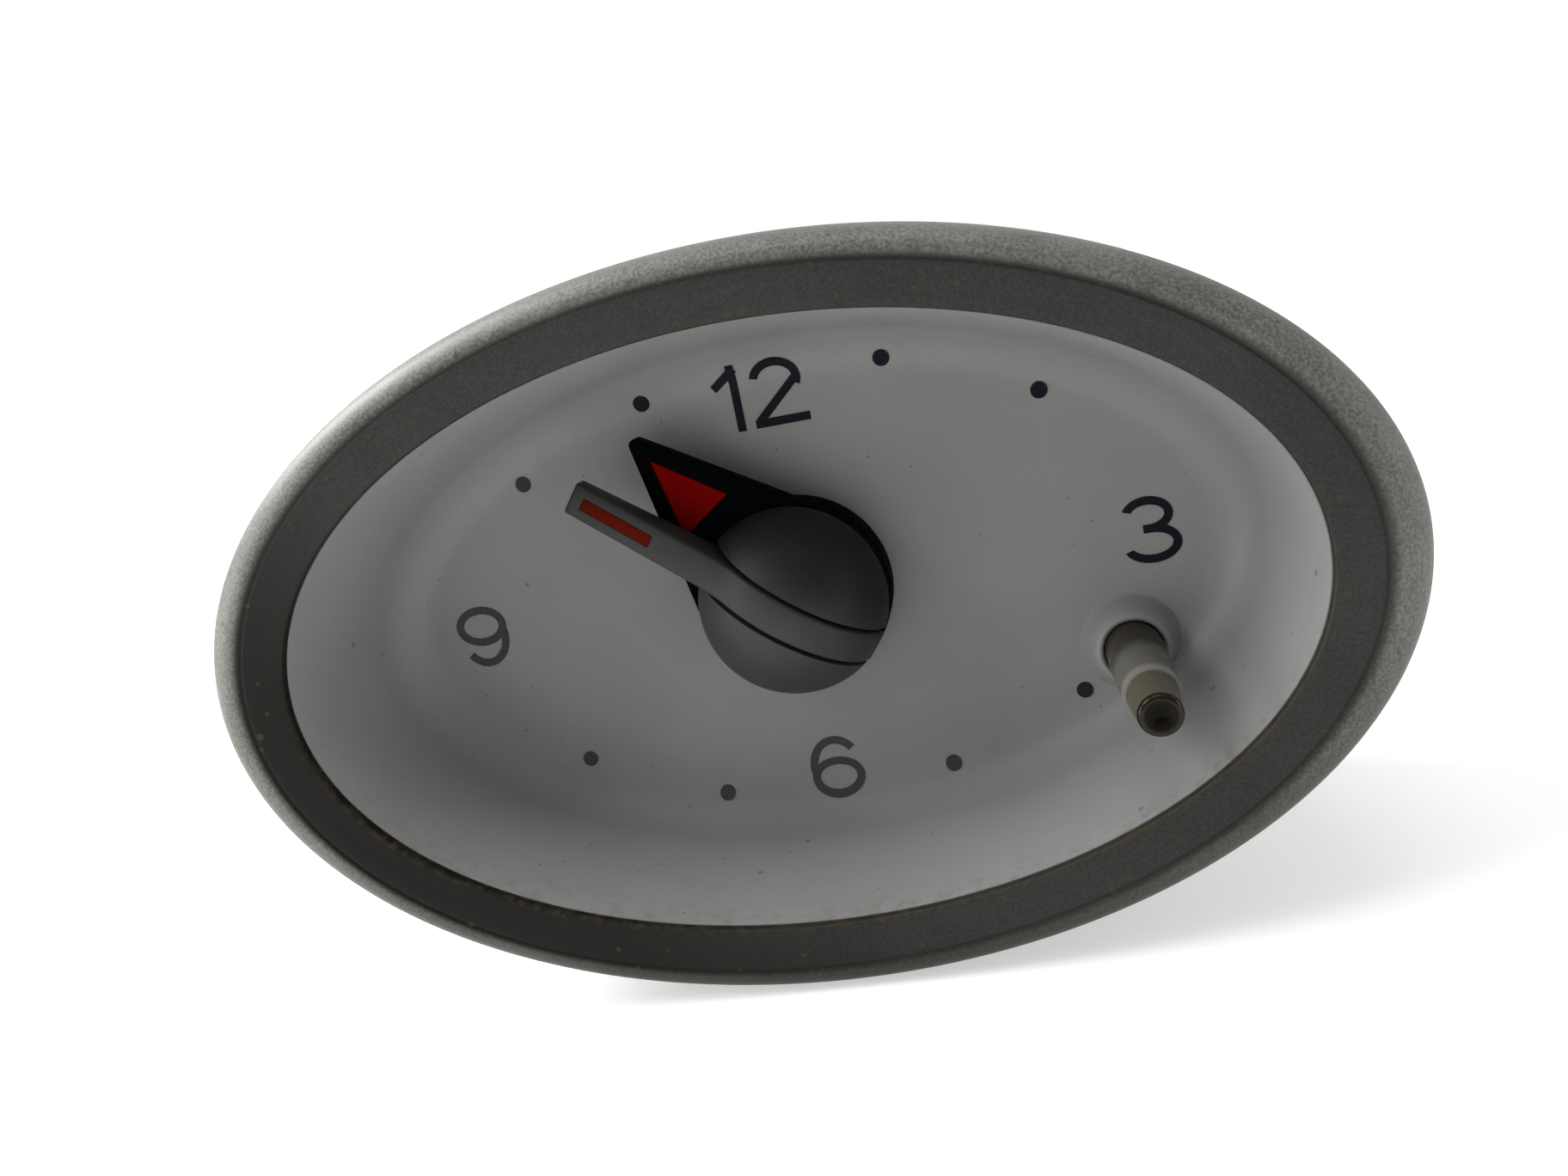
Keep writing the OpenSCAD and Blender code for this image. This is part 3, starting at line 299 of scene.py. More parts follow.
class Paint:
    def __init__(self, owner, place="Object"):
        owner.use_nodes = True
        self.owner = owner
        self.tree = owner.node_tree
        self.place = self.node("ShaderNodeTexCoord", out=place)

    def node(self, kind, settings={}, sockets={}, out=0):
        made = self.tree.nodes.new(kind)
        for key, value in settings.items():
            setattr(made, key, value)
        for key, value in sockets.items():
            self.feed(made.inputs[key], value)
        return Wire(self, made.outputs[out])

    def feed(self, socket, value):
        if isinstance(value, Wire):
            self.tree.links.new(value.socket, socket)
        else:
            socket.default_value = value

    def surface(self, sockets):
        shader = self.tree.nodes["Principled BSDF"]
        for key, value in sockets.items():
            self.feed(shader.inputs[key], value)

    def axes(self):
        split = self.node("ShaderNodeSeparateXYZ", sockets={0: self.place})
        return split, split.output("Y"), split.output("Z")

    # Noise and specks take the size of their features in millimetres
    def noise(self, size, detail=2.0, stretch=(1, 1, 1)):
        place = self.node("ShaderNodeVectorMath", {"operation": "MULTIPLY"}, {0: self.place, 1: stretch})
        return self.node("ShaderNodeTexNoise", sockets={"Vector": place, "Scale": 1 / (size * metre),
                                                        "Detail": detail})

    def specks(self, size, share, reach=0.3):
        cell = self.node("ShaderNodeTexVoronoi", sockets={"Vector": self.place, "Scale": 1 / (size * metre)})
        chance = self.node("ShaderNodeSeparateColor", sockets={0: cell.output("Color")})
        return cell.between(reach * 0.5, reach, 1.0, 0.0) * chance.between(share, share + 0.02, 1.0, 0.0)

    def blend(self, factor, first, second):
        return self.node("ShaderNodeMix", {"data_type": "RGBA"}, {0: factor, 6: first, 7: second}, out=2)

    def bump(self, height, depth, strength=1.0):
        return self.node("ShaderNodeBump", sockets={"Height": height, "Distance": depth * metre,
                                                    "Strength": strength})


def newPaint(name):
    return Paint(bpy.data.materials.new(name))


def tint(red, green, blue):
    parts = [c / 255 for c in (red, green, blue)]
    return tuple(p / 12.92 if p <= 0.04 else ((p + 0.055) / 1.055) ** 2.4 for p in parts) + (1.0,)


# Distance from an oval about the dial centre: 1 on it, more outside
def ovalReach(paint, wide, high):
    x, y, z = paint.axes()
    return ((x / (wide * metre)) ** 2 + (z / (high * metre)) ** 2) ** 0.5


bezelHigh = nodeBox("bezel")[1]
seatLevel, crestLevel = levels("bezel")
bezelSize = {
    "rim": 6.8, "rimTop": 5.5, "band": 3.7, "rise": 0.5, "lipRound": 0.25, "lipThick": 0.6, "drop": 3.0,
    "grooveAt": 3.3, "grooveWide": 0.5, "grooveDeep": 0.1, "skirt": 3.5, "edge": 0.3, "lipRise": 0.1,
    "bandSteps": (1.0, 2.0),
}
openWide = bezelHigh.x - bezelSize["rim"]
openHigh = bezelHigh.z - bezelSize["rimTop"]
lipLevel = crestLevel - bezelSize["rise"]
flangeLevel = lipLevel - bezelSize["lipThick"]


# Past the crest the bezel is narrower at the top and bottom than at the sides
def oval(offset, level):
    past = max(0, offset - bezelSize["band"])
    narrow = (bezelSize["rim"] - bezelSize["rimTop"]) / (bezelSize["rim"] - bezelSize["band"])
    return openWide + offset, openHigh + offset - past * narrow, level


def silverPaint():
    look = {"bandDark": tint(44, 45, 43), "bandLight": tint(60, 61, 58), "rimDark": tint(86, 87, 82),
            "rimLight": tint(128, 129, 123), "groove": tint(36, 36, 32), "dirt": tint(74, 62, 44),
            "bandShadeTone": tint(19, 19, 16), "darkToneAndShade": tint(44, 43, 38)}
    paint = newPaint("silverPaint")
    flake = paint.noise(0.22, 3)
    cloud = paint.noise(7, 3)
    x, y, z = paint.axes()
    lip = ovalReach(paint, openWide, openHigh)
    groove = ovalReach(paint, openWide + bezelSize["grooveAt"], openHigh + bezelSize["grooveAt"]) - 1
    rim = groove.between(0.001, 0.024)
    low = z.between(-0.6 * openHigh * metre, 0.2 * openHigh * metre, 1.0, 0.1)
    lipDirt = lip.between(1.0, 1.025, 1.0, 0.0) * low * paint.noise(0.8, 4).between(0.4, 0.65)
    grooveShade = groove.between(-0.009, -0.001) * groove.between(0.001, 0.009, 1.0, 0.0)
    spots = paint.specks(2.6, 0.22, 0.14) + paint.specks(1.3, 0.2, 0.2)
    mix = flake.between(0.32, 0.7) * 0.75 + cloud.between(0.3, 0.7) * 0.25
    # Painted shade: towards the lower left the inner band is darkened almost to black, where it lies in shade
    bandShade = (x * 0.75 + z * 0.66).between(-0.031, -0.007, 1.0, 0.0)
    band = paint.blend(mix, look["bandDark"], look["bandLight"])
    band = paint.blend(bandShade * 0.9, band, look["bandShadeTone"])
    outside = paint.blend(mix, look["rimDark"], look["rimLight"])
    # Painted shade: the outer band darkens towards the bottom, which faces away from the light
    outside = paint.blend(z.between(-0.03, -0.004, 0.8, 0.0), outside, look["darkToneAndShade"])
    # The inner band is painted darker than the outer band: painted shade on the inner band, which faces away from the
    # light
    colour = paint.blend(rim, band, outside)
    # Painted shade: the groove is darkened, standing in for the shade in this shallow recess
    colour = paint.blend(grooveShade * 0.35, colour, look["groove"])
    colour = paint.blend(lipDirt * 0.55 + spots * 0.6, colour, look["dirt"])
    paint.surface({
        "Base Color": colour, "Metallic": 0.3, "Specular IOR Level": 0.15,
        "Roughness": flake.between(0.3, 0.7, 0.42, 0.56) + lipDirt * 0.2,
        "Normal": paint.bump(flake + spots * 0.5, 0.02, 0.35),
    })
    return paint.owner


def dialWhite():
    look = {"light": tint(150, 150, 149), "darkToneAndShade": tint(143, 144, 143), "dust": tint(78, 72, 62),
            "dirt": tint(98, 86, 64)}
    paint = newPaint("dialWhite")
    x, y, z = paint.axes()
    cloud = paint.noise(9, 3)
    fine = paint.noise(0.35, 4)
    mottle = cloud.between(0.3, 0.7) * 0.6 + fine.between(0.3, 0.7) * 0.4
    dust = paint.specks(1.5, 0.2, 0.1) + paint.specks(3.4, 0.18, 0.09)
    nearLip = y.between((dialLevel - lipLevel + 0.3) * metre, (dialLevel - lipLevel + 4.5) * metre, 1.0, 0.0)
    low = z.between(-0.7 * openHigh * metre, 0.1 * openHigh * metre, 1.0, 0.0)
    grime = nearLip * low * paint.noise(1.1, 6).between(0.4, 0.8)
    colour = paint.blend(mottle, look["darkToneAndShade"], look["light"])
    colour = paint.blend(grime * 0.4, colour, look["dirt"])
    colour = paint.blend(dust * 0.55, colour, look["dust"])
    paint.surface({
        "Base Color": colour, "Roughness": fine.between(0.3, 0.7, 0.4, 0.52) + grime * 0.2,
        "Specular IOR Level": 0.35, "Normal": paint.bump(fine + dust * 0.8, 0.015, 0.3),
    })
    return paint.owner


def dialInk():
    look = {"ink": tint(14, 18, 27), "wornAndLit": tint(38, 43, 53), "faded": tint(80, 80, 80)}
    paint = newPaint("dialInk")
    x, y, z = paint.axes()
    grain = paint.noise(0.3, 4)
    faded = (x * 0.6 + z * 0.8).between(-0.012, 0.01, 1.0, 0.0)
    colour = paint.blend(grain.between(0.5, 0.75) * 0.7, look["ink"], look["wornAndLit"])
    colour = paint.blend(faded * grain.between(0.2, 0.7, 0.95, 0.75), colour, look["faded"])
    paint.surface({"Base Color": colour, "Roughness": grain.between(0.3, 0.7, 0.5, 0.7),
                   "Specular IOR Level": 0.1, "Normal": paint.bump(grain, 0.01, 0.3)})
    return paint.owner


# Moulded plastic: two close shades, a fine grain and a few light or dark specks
def plastic(name, shade, other, speck, rough, grainSize=0.3, depth=0.015, gloss=0.5):
    paint = newPaint(name)
    grain = paint.noise(grainSize, 4)
    cloud = paint.noise(6, 3)
    dust = paint.specks(1.6, 0.15, 0.1)
    colour = paint.blend(grain.between(0.3, 0.7) * 0.5 + cloud.between(0.3, 0.7) * 0.5, shade, other)
    colour = paint.blend(dust * 0.5, colour, speck)
    paint.surface({"Base Color": colour, "Roughness": grain.between(0.3, 0.7, rough, rough + 0.14),
                   "Specular IOR Level": gloss, "Normal": paint.bump(grain + dust, depth, 0.4)})
    return paint


# Bare metal: fine streaks along one axis, a little tarnish
def metal(name, shade, tarnish, rough, stretch):
    paint = newPaint(name)
    streak = paint.noise(0.12, 3, stretch)
    cloud = paint.noise(2.5, 4)
    stain = cloud.between(0.48, 0.72) * 0.6
    paint.surface({
        "Base Color": paint.blend(stain + streak.between(0.3, 0.7) * 0.25, shade, tarnish),
        "Metallic": 1.0, "Roughness": streak.between(0.3, 0.7, rough, rough + 0.12) + stain * 0.15,
        "Normal": paint.bump(streak, 0.006, 0.3),
    })
    return paint


def handSilver():
    look = {"dark": tint(31, 31, 30), "light": tint(39, 39, 38), "wornAndLit": tint(66, 66, 65), "speck": tint(24, 23, 20)}
    paint = newPaint("handSilver")
    x, y, z = paint.axes()
    # Painted light and shade: the lower-left side of the hub and hands is painted lighter, as if lit, and the
    # upper-right side stays darker
    litSide = (x * 0.62 + z * 0.78).between(-0.001, 0.0045, 1.0, 0.0)
    flake = paint.noise(0.2, 3)
    dust = paint.specks(1.1, 0.22, 0.12)
    colour = paint.blend(flake.between(0.3, 0.7), look["dark"], look["light"])
    colour = paint.blend(litSide * 0.9, colour, look["wornAndLit"])
    colour = paint.blend(dust * 0.6, colour, look["speck"])
    paint.surface({"Base Color": colour, "Metallic": 0.2, "Specular IOR Level": 0.15,
                   "Roughness": flake.between(0.3, 0.7, 0.44, 0.56),
                   "Normal": paint.bump(flake + dust, 0.012, 0.35)})
    return paint.owner


def markerRed(name, shade, deep):
    return plastic(name, tint(*shade), tint(*deep), tint(60, 16, 10), 0.42, 0.25, 0.012, 0.02).owner


def stemClear():
    look = {"foot": tint(58, 54, 47), "clear": tint(101, 100, 95), "ring": tint(124, 122, 114),
            "tan": tint(86, 83, 71), "end": tint(27, 22, 14), "deep": tint(10, 8, 5), "speck": tint(66, 56, 42)}
    paint = newPaint("stemClear")
    x, y, z = paint.axes()
    height = dialLevel - y / metre
    swirl = paint.noise(2.4, 1)
    # Painted shade: the shank is darker near the collar, where the dark hole shows through the clear stem
    colour = paint.blend(height.between(5.9, 8.9), look["foot"], look["clear"])
    # Painted highlight: a lighter ring just below the shoulder
    colour = paint.blend(height.between(stemShoulder - 0.4, stemShoulder - 0.15), colour, look["ring"])
    colour = paint.blend(height.between(stemShoulder + 0.3, stemShoulder + 0.7), colour, look["tan"])
    colour = paint.blend(paint.specks(1.4, 0.12, 0.1) * 0.4 + swirl.between(0.5, 0.8) * 0.12, colour,
                         look["speck"])
    fromAxis = ((x / metre - stemX) ** 2 + (z / metre - stemY) ** 2) ** 0.5
    atEnd = height.between(stemTip - 0.5, stemTip - 0.36)
    # The end face is dark brown, and its dished centre is darker still as painted shade in the dish
    colour = paint.blend(atEnd, colour, paint.blend(fromAxis.between(0.2, 1.1), look["deep"], look["end"]))
    rim = atEnd * fromAxis.between(1.1, 1.25)
    paint.surface({"Base Color": colour, "Transmission Weight": 0.06, "IOR": 1.49, "Specular IOR Level": 0.04,
                   "Coat Weight": rim * 0.3, "Coat Roughness": 0.06,
                   "Roughness": swirl.between(0.3, 0.7, 0.2, 0.34),
                   "Normal": paint.bump(swirl, 0.003, 0.1)})
    return paint.owner


def lampGlass():
    paint = newPaint("lampGlass")
    ripple = paint.noise(1.5, 2)
    paint.surface({"Base Color": paint.blend(ripple.between(0.4, 0.7) * 0.3, tint(238, 240, 236), tint(214, 214, 204)),
                   "Transmission Weight": 0.9, "IOR": 1.5, "Roughness": ripple.between(0.3, 0.7, 0.03, 0.1)})
    return paint.owner


def coilCopper():
    paint = newPaint("coilCopper")
    turns = paint.node("ShaderNodeTexWave", {"bands_direction": "X"},
                       {"Vector": paint.place, "Scale": 1800.0, "Distortion": 0.4})
    colour = paint.blend(turns.between(0.2, 0.8), tint(96, 48, 22), tint(206, 122, 70))
    paint.surface({"Base Color": colour, "Metallic": 0.9, "Roughness": turns.between(0.0, 1.0, 0.45, 0.28),
                   "Normal": paint.bump(turns, 0.05, 0.7)})
    return paint.owner


def boardGreen():
    paint = newPaint("boardGreen")
    weave = paint.node("ShaderNodeTexChecker", {}, {"Vector": paint.place, "Scale": 1600.0}, out=1)
    cloud = paint.noise(5, 3)
    colour = paint.blend(weave * 0.25 + cloud.between(0.3, 0.7) * 0.4, tint(28, 84, 48), tint(46, 112, 66))
    paint.surface({"Base Color": colour, "Roughness": cloud.between(0.3, 0.7, 0.3, 0.45),
                   "Normal": paint.bump(weave, 0.01, 0.4)})
    return paint.owner


stemLow, stemTip = levels("setting_stem")
stemX, stemY = middle("setting_stem")
stemShoulder = 12.6
paints = {
    "silver_paint": silverPaint(),
    "dial_white": dialWhite(),
    "dial_ink": dialInk(),
    "hand_black": plastic("handBlack", tint(5, 5, 6), tint(8, 8, 9), tint(34, 32, 32), 0.5, gloss=0.01).owner,
    "hand_silver": handSilver(),
    "marker_red": markerRed("markerRed", (134, 3, 2), (120, 2, 1)),
    "stem_clear": stemClear(),
    "case_white": plastic("caseWhite", tint(160, 160, 155), tint(152, 152, 147), tint(104, 97, 86), 0.55,
                          gloss=0.15).owner,
    "cover_black": plastic("coverBlack", tint(30, 30, 32), tint(40, 40, 42), tint(88, 84, 80), 0.5, 0.5, 0.05).owner,
    "movement_plastic": plastic("movementPlastic", tint(176, 176, 170), tint(164, 164, 158), tint(110, 104, 96),
                                0.45).owner,
    "gear_plastic": plastic("gearPlastic", tint(226, 222, 206), tint(214, 208, 190), tint(150, 140, 120), 0.38).owner,
    "gear_brass": metal("gearBrass", tint(202, 164, 88), tint(134, 98, 48), 0.26, (1, 4, 1)).owner,
    "steel": metal("steel", tint(176, 178, 180), tint(112, 110, 106), 0.26, (1, 4, 1)).owner,
    "spring_steel": metal("springSteel", tint(146, 150, 156), tint(88, 86, 84), 0.3, (4, 1, 4)).owner,
    "motor_iron": metal("motorIron", tint(118, 118, 120), tint(78, 74, 70), 0.4, (4, 1, 4)).owner,
    "coil_copper": coilCopper(),
    "board_green": boardGreen(),
    "chip_black": plastic("chipBlack", tint(26, 26, 28), tint(36, 36, 38), tint(80, 80, 80), 0.5).owner,
    "capacitor_blue": plastic("capacitorBlue", tint(30, 52, 110), tint(24, 42, 92), tint(120, 130, 150), 0.35).owner,
    "pad_rubber": plastic("padRubber", tint(44, 42, 40), tint(56, 54, 50), tint(90, 86, 80), 0.7, 0.4, 0.05).owner,
    "lamp_green": plastic("lampGreen", tint(46, 116, 84), tint(38, 102, 72), tint(110, 130, 110), 0.4).owner,
    "lamp_glass": lampGlass(),
}
stripeRed = markerRed("stripeRed", (98, 24, 12), (86, 20, 10))
for part in frame["record"]["subparts"]:
    slots = frame["nodes"][part["node"]].data.materials
    slots.clear()
    slots.append(paints[part["material_slot"]])
print("paints made:", len(paints))


# Bezel: lip, sloping band, groove, crest and a rounded outer band
def bezelSection(size):
    band = lambda offset: lipLevel + size["rise"] * offset / size["band"]
    lip = size["lipRound"]
    section = [(0, flangeLevel)]
    section += arc((lip, lipLevel - lip + size["lipRise"]), lip, 180, 100, 4)
    section += [(offset, band(offset)) for offset in size["bandSteps"]]
    for step in range(-5, 6):
        offset = size["grooveAt"] + step / 10 * size["grooveWide"]
        section.append((offset, band(offset) - size["grooveDeep"] * math.cos(step / 10 * math.pi) ** 2))
    outer = size["rim"] - size["band"]
    for step in range(19):
        turn = math.radians(5 * step)
        section.append((size["band"] + outer * math.sin(turn), crestLevel - size["drop"] * (1 - math.cos(turn))))
    edge = size["edge"]
    section += arc((size["rim"] - edge, seatLevel + edge), edge, 0, -90, 4)
    section += [(size["skirt"], seatLevel), (size["skirt"], flangeLevel)]
    return section


bezelRing = ovalLoft("bezelRing", [oval(d, z) for d, z in bezelSection(bezelSize)], closed=True)
settle(bezelRing, "clock_body", ["bezel"], paints["silver_paint"])
print("bezel made")

# Dial bowl: flat floor, curved edge, leaning wall and a flange, with a collar round the stem
bowlSize = {"lean": 2.2, "fillet": 4.0, "wall": 1.6, "flange": 1.6, "flangeOut": 3.3, "hubHole": 2.9,
            "floorSteps": (6, 1), "wallLevels": (7, 11)}
collarSize = {"crest": 2.7, "height": 2.3, "spread": 4.2, "hole": 2.38, "bite": 0.02, "turn": 1.875, "core": 1.0,
              "root": -0.6, "sink": 0.03}


def bowlRings(size):
    lean = math.atan(size["lean"] / lipLevel)
    curve = -size["lean"] - size["fillet"] * math.tan(math.pi / 4 - lean / 2)
    wallAt = lambda level: -size["lean"] * (1 - level / lipLevel)
    steep = -math.degrees(lean)
    inside = arc((curve, size["fillet"]), size["fillet"], -90, steep, 14)
    outside = arc((curve, size["fillet"]), size["fillet"] + size["wall"], steep, -90, 8)
    flangeLow = flangeLevel - size["flange"]
    section = [(curve - step, 0) for step in size["floorSteps"]] + inside
    section += [(wallAt(level), level) for level in size["wallLevels"] + (flangeLevel,)]
    section += [(size["flangeOut"], flangeLevel), (size["flangeOut"], flangeLow)]
    section += [(wallAt(flangeLow) + size["wall"] / math.cos(lean), flangeLow)] + outside
    section += [(curve - size["floorSteps"][1], -size["wall"])]
    return [oval(d, z) for d, z in section]


def collarSection(size):
    section = [(size["core"], size["root"]), (size["spread"], size["root"])]
    for step in range(17):
        share = step / 16
        rise = (size["height"] + size["sink"]) * (1 - math.cos(math.pi * share)) / 2
        section.append((size["spread"] + (size["crest"] - size["spread"]) * share, rise - size["sink"]))
    rim = size["crest"] - size["hole"] + size["bite"]  # ends inside the hole, so that the drill cuts across it
    section += arc((size["crest"], size["height"] - rim), rim, 90, 180, 6)[1:]
    return section + [(size["core"], size["height"] - rim)]


dialBowl = ovalLoft("dialBowl", bowlRings(bowlSize))
collar = lathe("collar", collarSection(collarSize), closed=True)
combine(dialBowl, move(collar, collarSize["turn"], place=(stemX, stemY, 0)), "UNION")  # its edges miss the drill's
combine(dialBowl, move(drill(collarSize["hole"]), place=(stemX, stemY, 0)), "DIFFERENCE")
combine(dialBowl, drill(bowlSize["hubHole"]), "DIFFERENCE")
settle(dialBowl, "clock_body", ["dial_bowl"], paints["dial_white"], 28)
print("dial bowl made")

# Hands, modelled along +x and then turned to the time that the frame shows
hourSize = {"length": 18.1, "tip": 0.5, "hub": 7.7, "low": 2.6, "edge": 0.2, "angle": 325.0, "drum": 7.8,
            "overlap": 0.3}
hourLow, hourTop = levels("hour_hand")
triangleSize = {"tip": 15.9, "base": 9.7, "wide": 4.9, "deep": 0.5, "gap": 0.04, "edge": 0.06}


def pointerOutline(size):
    tip = (size["length"] - size["tip"], size["tip"])
    touch = math.degrees(math.atan2(tip[1], tip[0]) + math.acos(size["hub"] / math.hypot(*tip)))
    return arc((0, 0), size["hub"], touch, 360 - touch, 96) + arc((tip[0], 0), size["tip"], -70, 70, 6)


def triangleOutline(size, gap):
    half = size["wide"] / 2 + gap
    return [(size["tip"] + 2 * gap, 0), (size["base"] - gap, half), (size["base"] - gap, -half)]


hourHand = slab("hourHand", pointerOutline(hourSize), hourSize["low"], hourTop)
soften(hourHand, hourSize["edge"], 30)
drum = slab("drum", arc((0, 0), hourSize["drum"], 0, 358, 179), hourLow, hourSize["low"] + hourSize["overlap"])
combine(hourHand, drum, "UNION")
pocket = slab("pocket", triangleOutline(triangleSize, triangleSize["gap"]), hourTop - triangleSize["deep"], hourTop + 1)
combine(hourHand, pocket, "DIFFERENCE")
move(hourHand, 90 - hourSize["angle"])
settle(hourHand, "hour_hand_group", ["hour_hand"], paints["hand_black"])
hourTriangle = slab("hourTriangle", triangleOutline(triangleSize, 0), hourTop - triangleSize["deep"], hourTop)
soften(hourTriangle, triangleSize["edge"], 30, 2)
move(hourTriangle, 90 - hourSize["angle"])
settle(hourTriangle, "hour_hand_group", ["hour_hand_triangle"], paints["marker_red"])

minuteSize = {"length": 19.2, "wide": 2.65, "tipThick": 2.6, "tipLow": 0.9, "rootThick": 4.1, "blend": 6.0,
              "edge": 0.4, "angle": 307.5, "above": 0.4}
stripeSize = {"inset": 1.1, "length": 6.2, "wide": 0.95, "deep": 0.5, "gap": 0.04, "edge": 0.05, "corner": 0.12}
capSize = {"rim": 7.7, "gap": 0.34, "edge": 0.2, "core": 0.9, "coreLift": 0.05}
minuteLow = hourTop + minuteSize["above"]
domeHigh = levels("minute_hand")[1] - minuteLow
domeRadius = (capSize["rim"] ** 2 + domeHigh ** 2) / (2 * domeHigh)
domeMiddle = minuteLow + domeHigh - domeRadius
tipTop = minuteLow + minuteSize["tipThick"]
rootTop = minuteLow + minuteSize["rootThick"]
rootAt = math.sqrt(domeRadius ** 2 - (rootTop - domeMiddle) ** 2)
slope = math.atan2(rootTop - tipTop, minuteSize["length"] - rootAt)


# Side view of the minute hand: sloping bar, a hollow curve up to the hub, and the strip over the dome
def minuteOutline(size):
    blend = size["blend"]
    inward = Vector((-math.cos(slope), math.sin(slope)))
    hollow = Vector((size["length"], tipTop)) + Vector((math.sin(slope), math.cos(slope))) * blend
    fromDome = hollow - Vector((0, domeMiddle))
    reach = fromDome.dot(inward)
    hollow -= inward * (reach + math.sqrt(reach ** 2 - fromDome.length_squared + (domeRadius + blend) ** 2))
    meet = math.degrees(math.atan2(hollow.y - domeMiddle, hollow.x))
    rim = math.degrees(math.asin((minuteLow - domeMiddle) / domeRadius))
    outline = [(-capSize["rim"], minuteLow), (capSize["rim"], minuteLow)]
    outline += [(size["length"], minuteLow + size["tipLow"]), (size["length"], tipTop)]
    outline += arc(hollow, blend, 270 - math.degrees(slope), 180 + meet, 12)
    return outline + arc((0, domeMiddle), domeRadius, meet, 180 - rim, 48)[1:-1]


# The stripe is drawn back from the tip and then laid on the slope
def stripeOutline(size, gap):
    corner = size["corner"]
    half = size["wide"] / 2 + gap - corner
    near, far = corner - size["inset"] - size["length"] - gap, gap - corner - size["inset"]
    corners = [(far, half, 0), (near, half, 90), (near, -half, 180), (far, -half, 270)]
    return [point for x, y, turn in corners for point in arc((x, y), corner, turn, turn + 90, 3)]


def ontoBar(piece):
    return move(piece, math.degrees(slope), "Y", (minuteSize["length"], 0, tipTop))


minuteHand = slab("minuteHand", minuteOutline(minuteSize), -minuteSize["wide"] / 2, minuteSize["wide"] / 2)
move(minuteHand, 90, "X")
soften(minuteHand, minuteSize["edge"], 50)
combine(minuteHand, ontoBar(slab("groove", stripeOutline(stripeSize, stripeSize["gap"]), -stripeSize["deep"], 1)),
        "DIFFERENCE")
move(minuteHand, 90 - minuteSize["angle"])
settle(minuteHand, "minute_hand_group", ["minute_hand"], paints["hand_silver"], 30)
minuteStripe = slab("minuteStripe", stripeOutline(stripeSize, 0), -stripeSize["deep"], 0)
soften(minuteStripe, stripeSize["edge"], 30, 2)
move(ontoBar(minuteStripe), 90 - minuteSize["angle"])
settle(minuteStripe, "minute_hand_group", ["minute_hand_stripe"], stripeRed)


# Hub cap: two lobes of the dome, and a smaller dome as the floor of the grooves between them
def domePart(name, radius, cuts):
    piece = start(name, bpy.ops.mesh.primitive_uv_sphere_add, segments=160, ring_count=96, radius=radius,
                  location=(0, 0, domeMiddle))
    openEdit(piece)
    for place, normal in cuts:
        bpy.ops.mesh.select_all(action="SELECT")
        bpy.ops.mesh.bisect(plane_co=place, plane_no=normal, use_fill=True, clear_inner=True)
    closeEdit()
    return piece


slotHalf = minuteSize["wide"] / 2 + capSize["gap"]
lobe = domePart("lobe", domeRadius, [((0, 0, minuteLow), (0, 0, 1)), ((0, slotHalf, 0), (0, 1, 0))])
soften(lobe, capSize["edge"], 40)
core = domePart("core", domeRadius - capSize["core"], [((0, 0, minuteLow + capSize["coreLift"]), (0, 0, 1))])
hubCap = joinAll([lobe, move(copyOf(lobe), 180), core])
hubCap.name = hubCap.data.name = "hubCap"
move(hubCap, 90 - minuteSize["angle"])
settle(hubCap, "minute_hand_group", ["hub_cap"], paints["hand_silver"], 30)
print("hands made")

# Setting stem: tail, flange, long shank, shoulder ring and a dished end
stemSize = {"tail": 1.5, "flange": 3.2, "flangeLow": -2.55, "flangeTop": -1.65, "shank": 2.3, "neck": 2.12,
            "upper": 1.9, "tip": 1.6, "round": 0.4, "dishDeep": 0.35, "dishSteps": 8, "edge": 0.2, "taperFrom": 2.6,
            "ringLevels": (-0.15, 0.1), "upperLevels": (0.4, 0.6), "upperTaper": 0.04}


def stemSection(size):
    edge, rounding, tail, shank = (size[key] for key in ("edge", "round", "tail", "shank"))
    ringLow, ringMiddle = (stemShoulder + level for level in size["ringLevels"])
    upperLow, upperTop = (stemShoulder + level for level in size["upperLevels"])
    section = [(tail - edge, stemLow), (tail, stemLow + edge), (tail, size["flangeLow"])]
    section += [(size["flange"], size["flangeLow"]), (size["flange"], size["flangeTop"])]
    section += [(shank, size["flangeTop"]), (shank, size["taperFrom"]), (size["neck"], ringLow)]
    section += arc((size["neck"] - edge, ringMiddle), edge, 0, 80, 4)
    section += [(size["upper"], upperLow), (size["upper"] - size["upperTaper"], upperTop)]
    dish = size["tip"] - rounding
    section += arc((dish, stemTip - rounding), rounding, 8, 90, 6)
    for step in range(1, size["dishSteps"]):
        share = step / size["dishSteps"]
        section.append((dish * (1 - share), stemTip - size["dishDeep"] * (1 - math.cos(math.pi * share)) / 2))
    return section


settingStem = move(lathe("settingStem", stemSection(stemSize)), place=(stemX, stemY, 0))
settle(settingStem, "stem_turn_group", ["setting_stem"], paints["stem_clear"], 32)

# Return spring: a ring of wire wound upwards, which in the clock shortens when the stem is pressed; here it is modelled
# at rest only
springLow, springTop = levels("stem_spring")
springSize = {"radius": 2.4, "wire": 0.36, "sides": 12, "turns": 3, "steps": 48, "travel": 1.5}


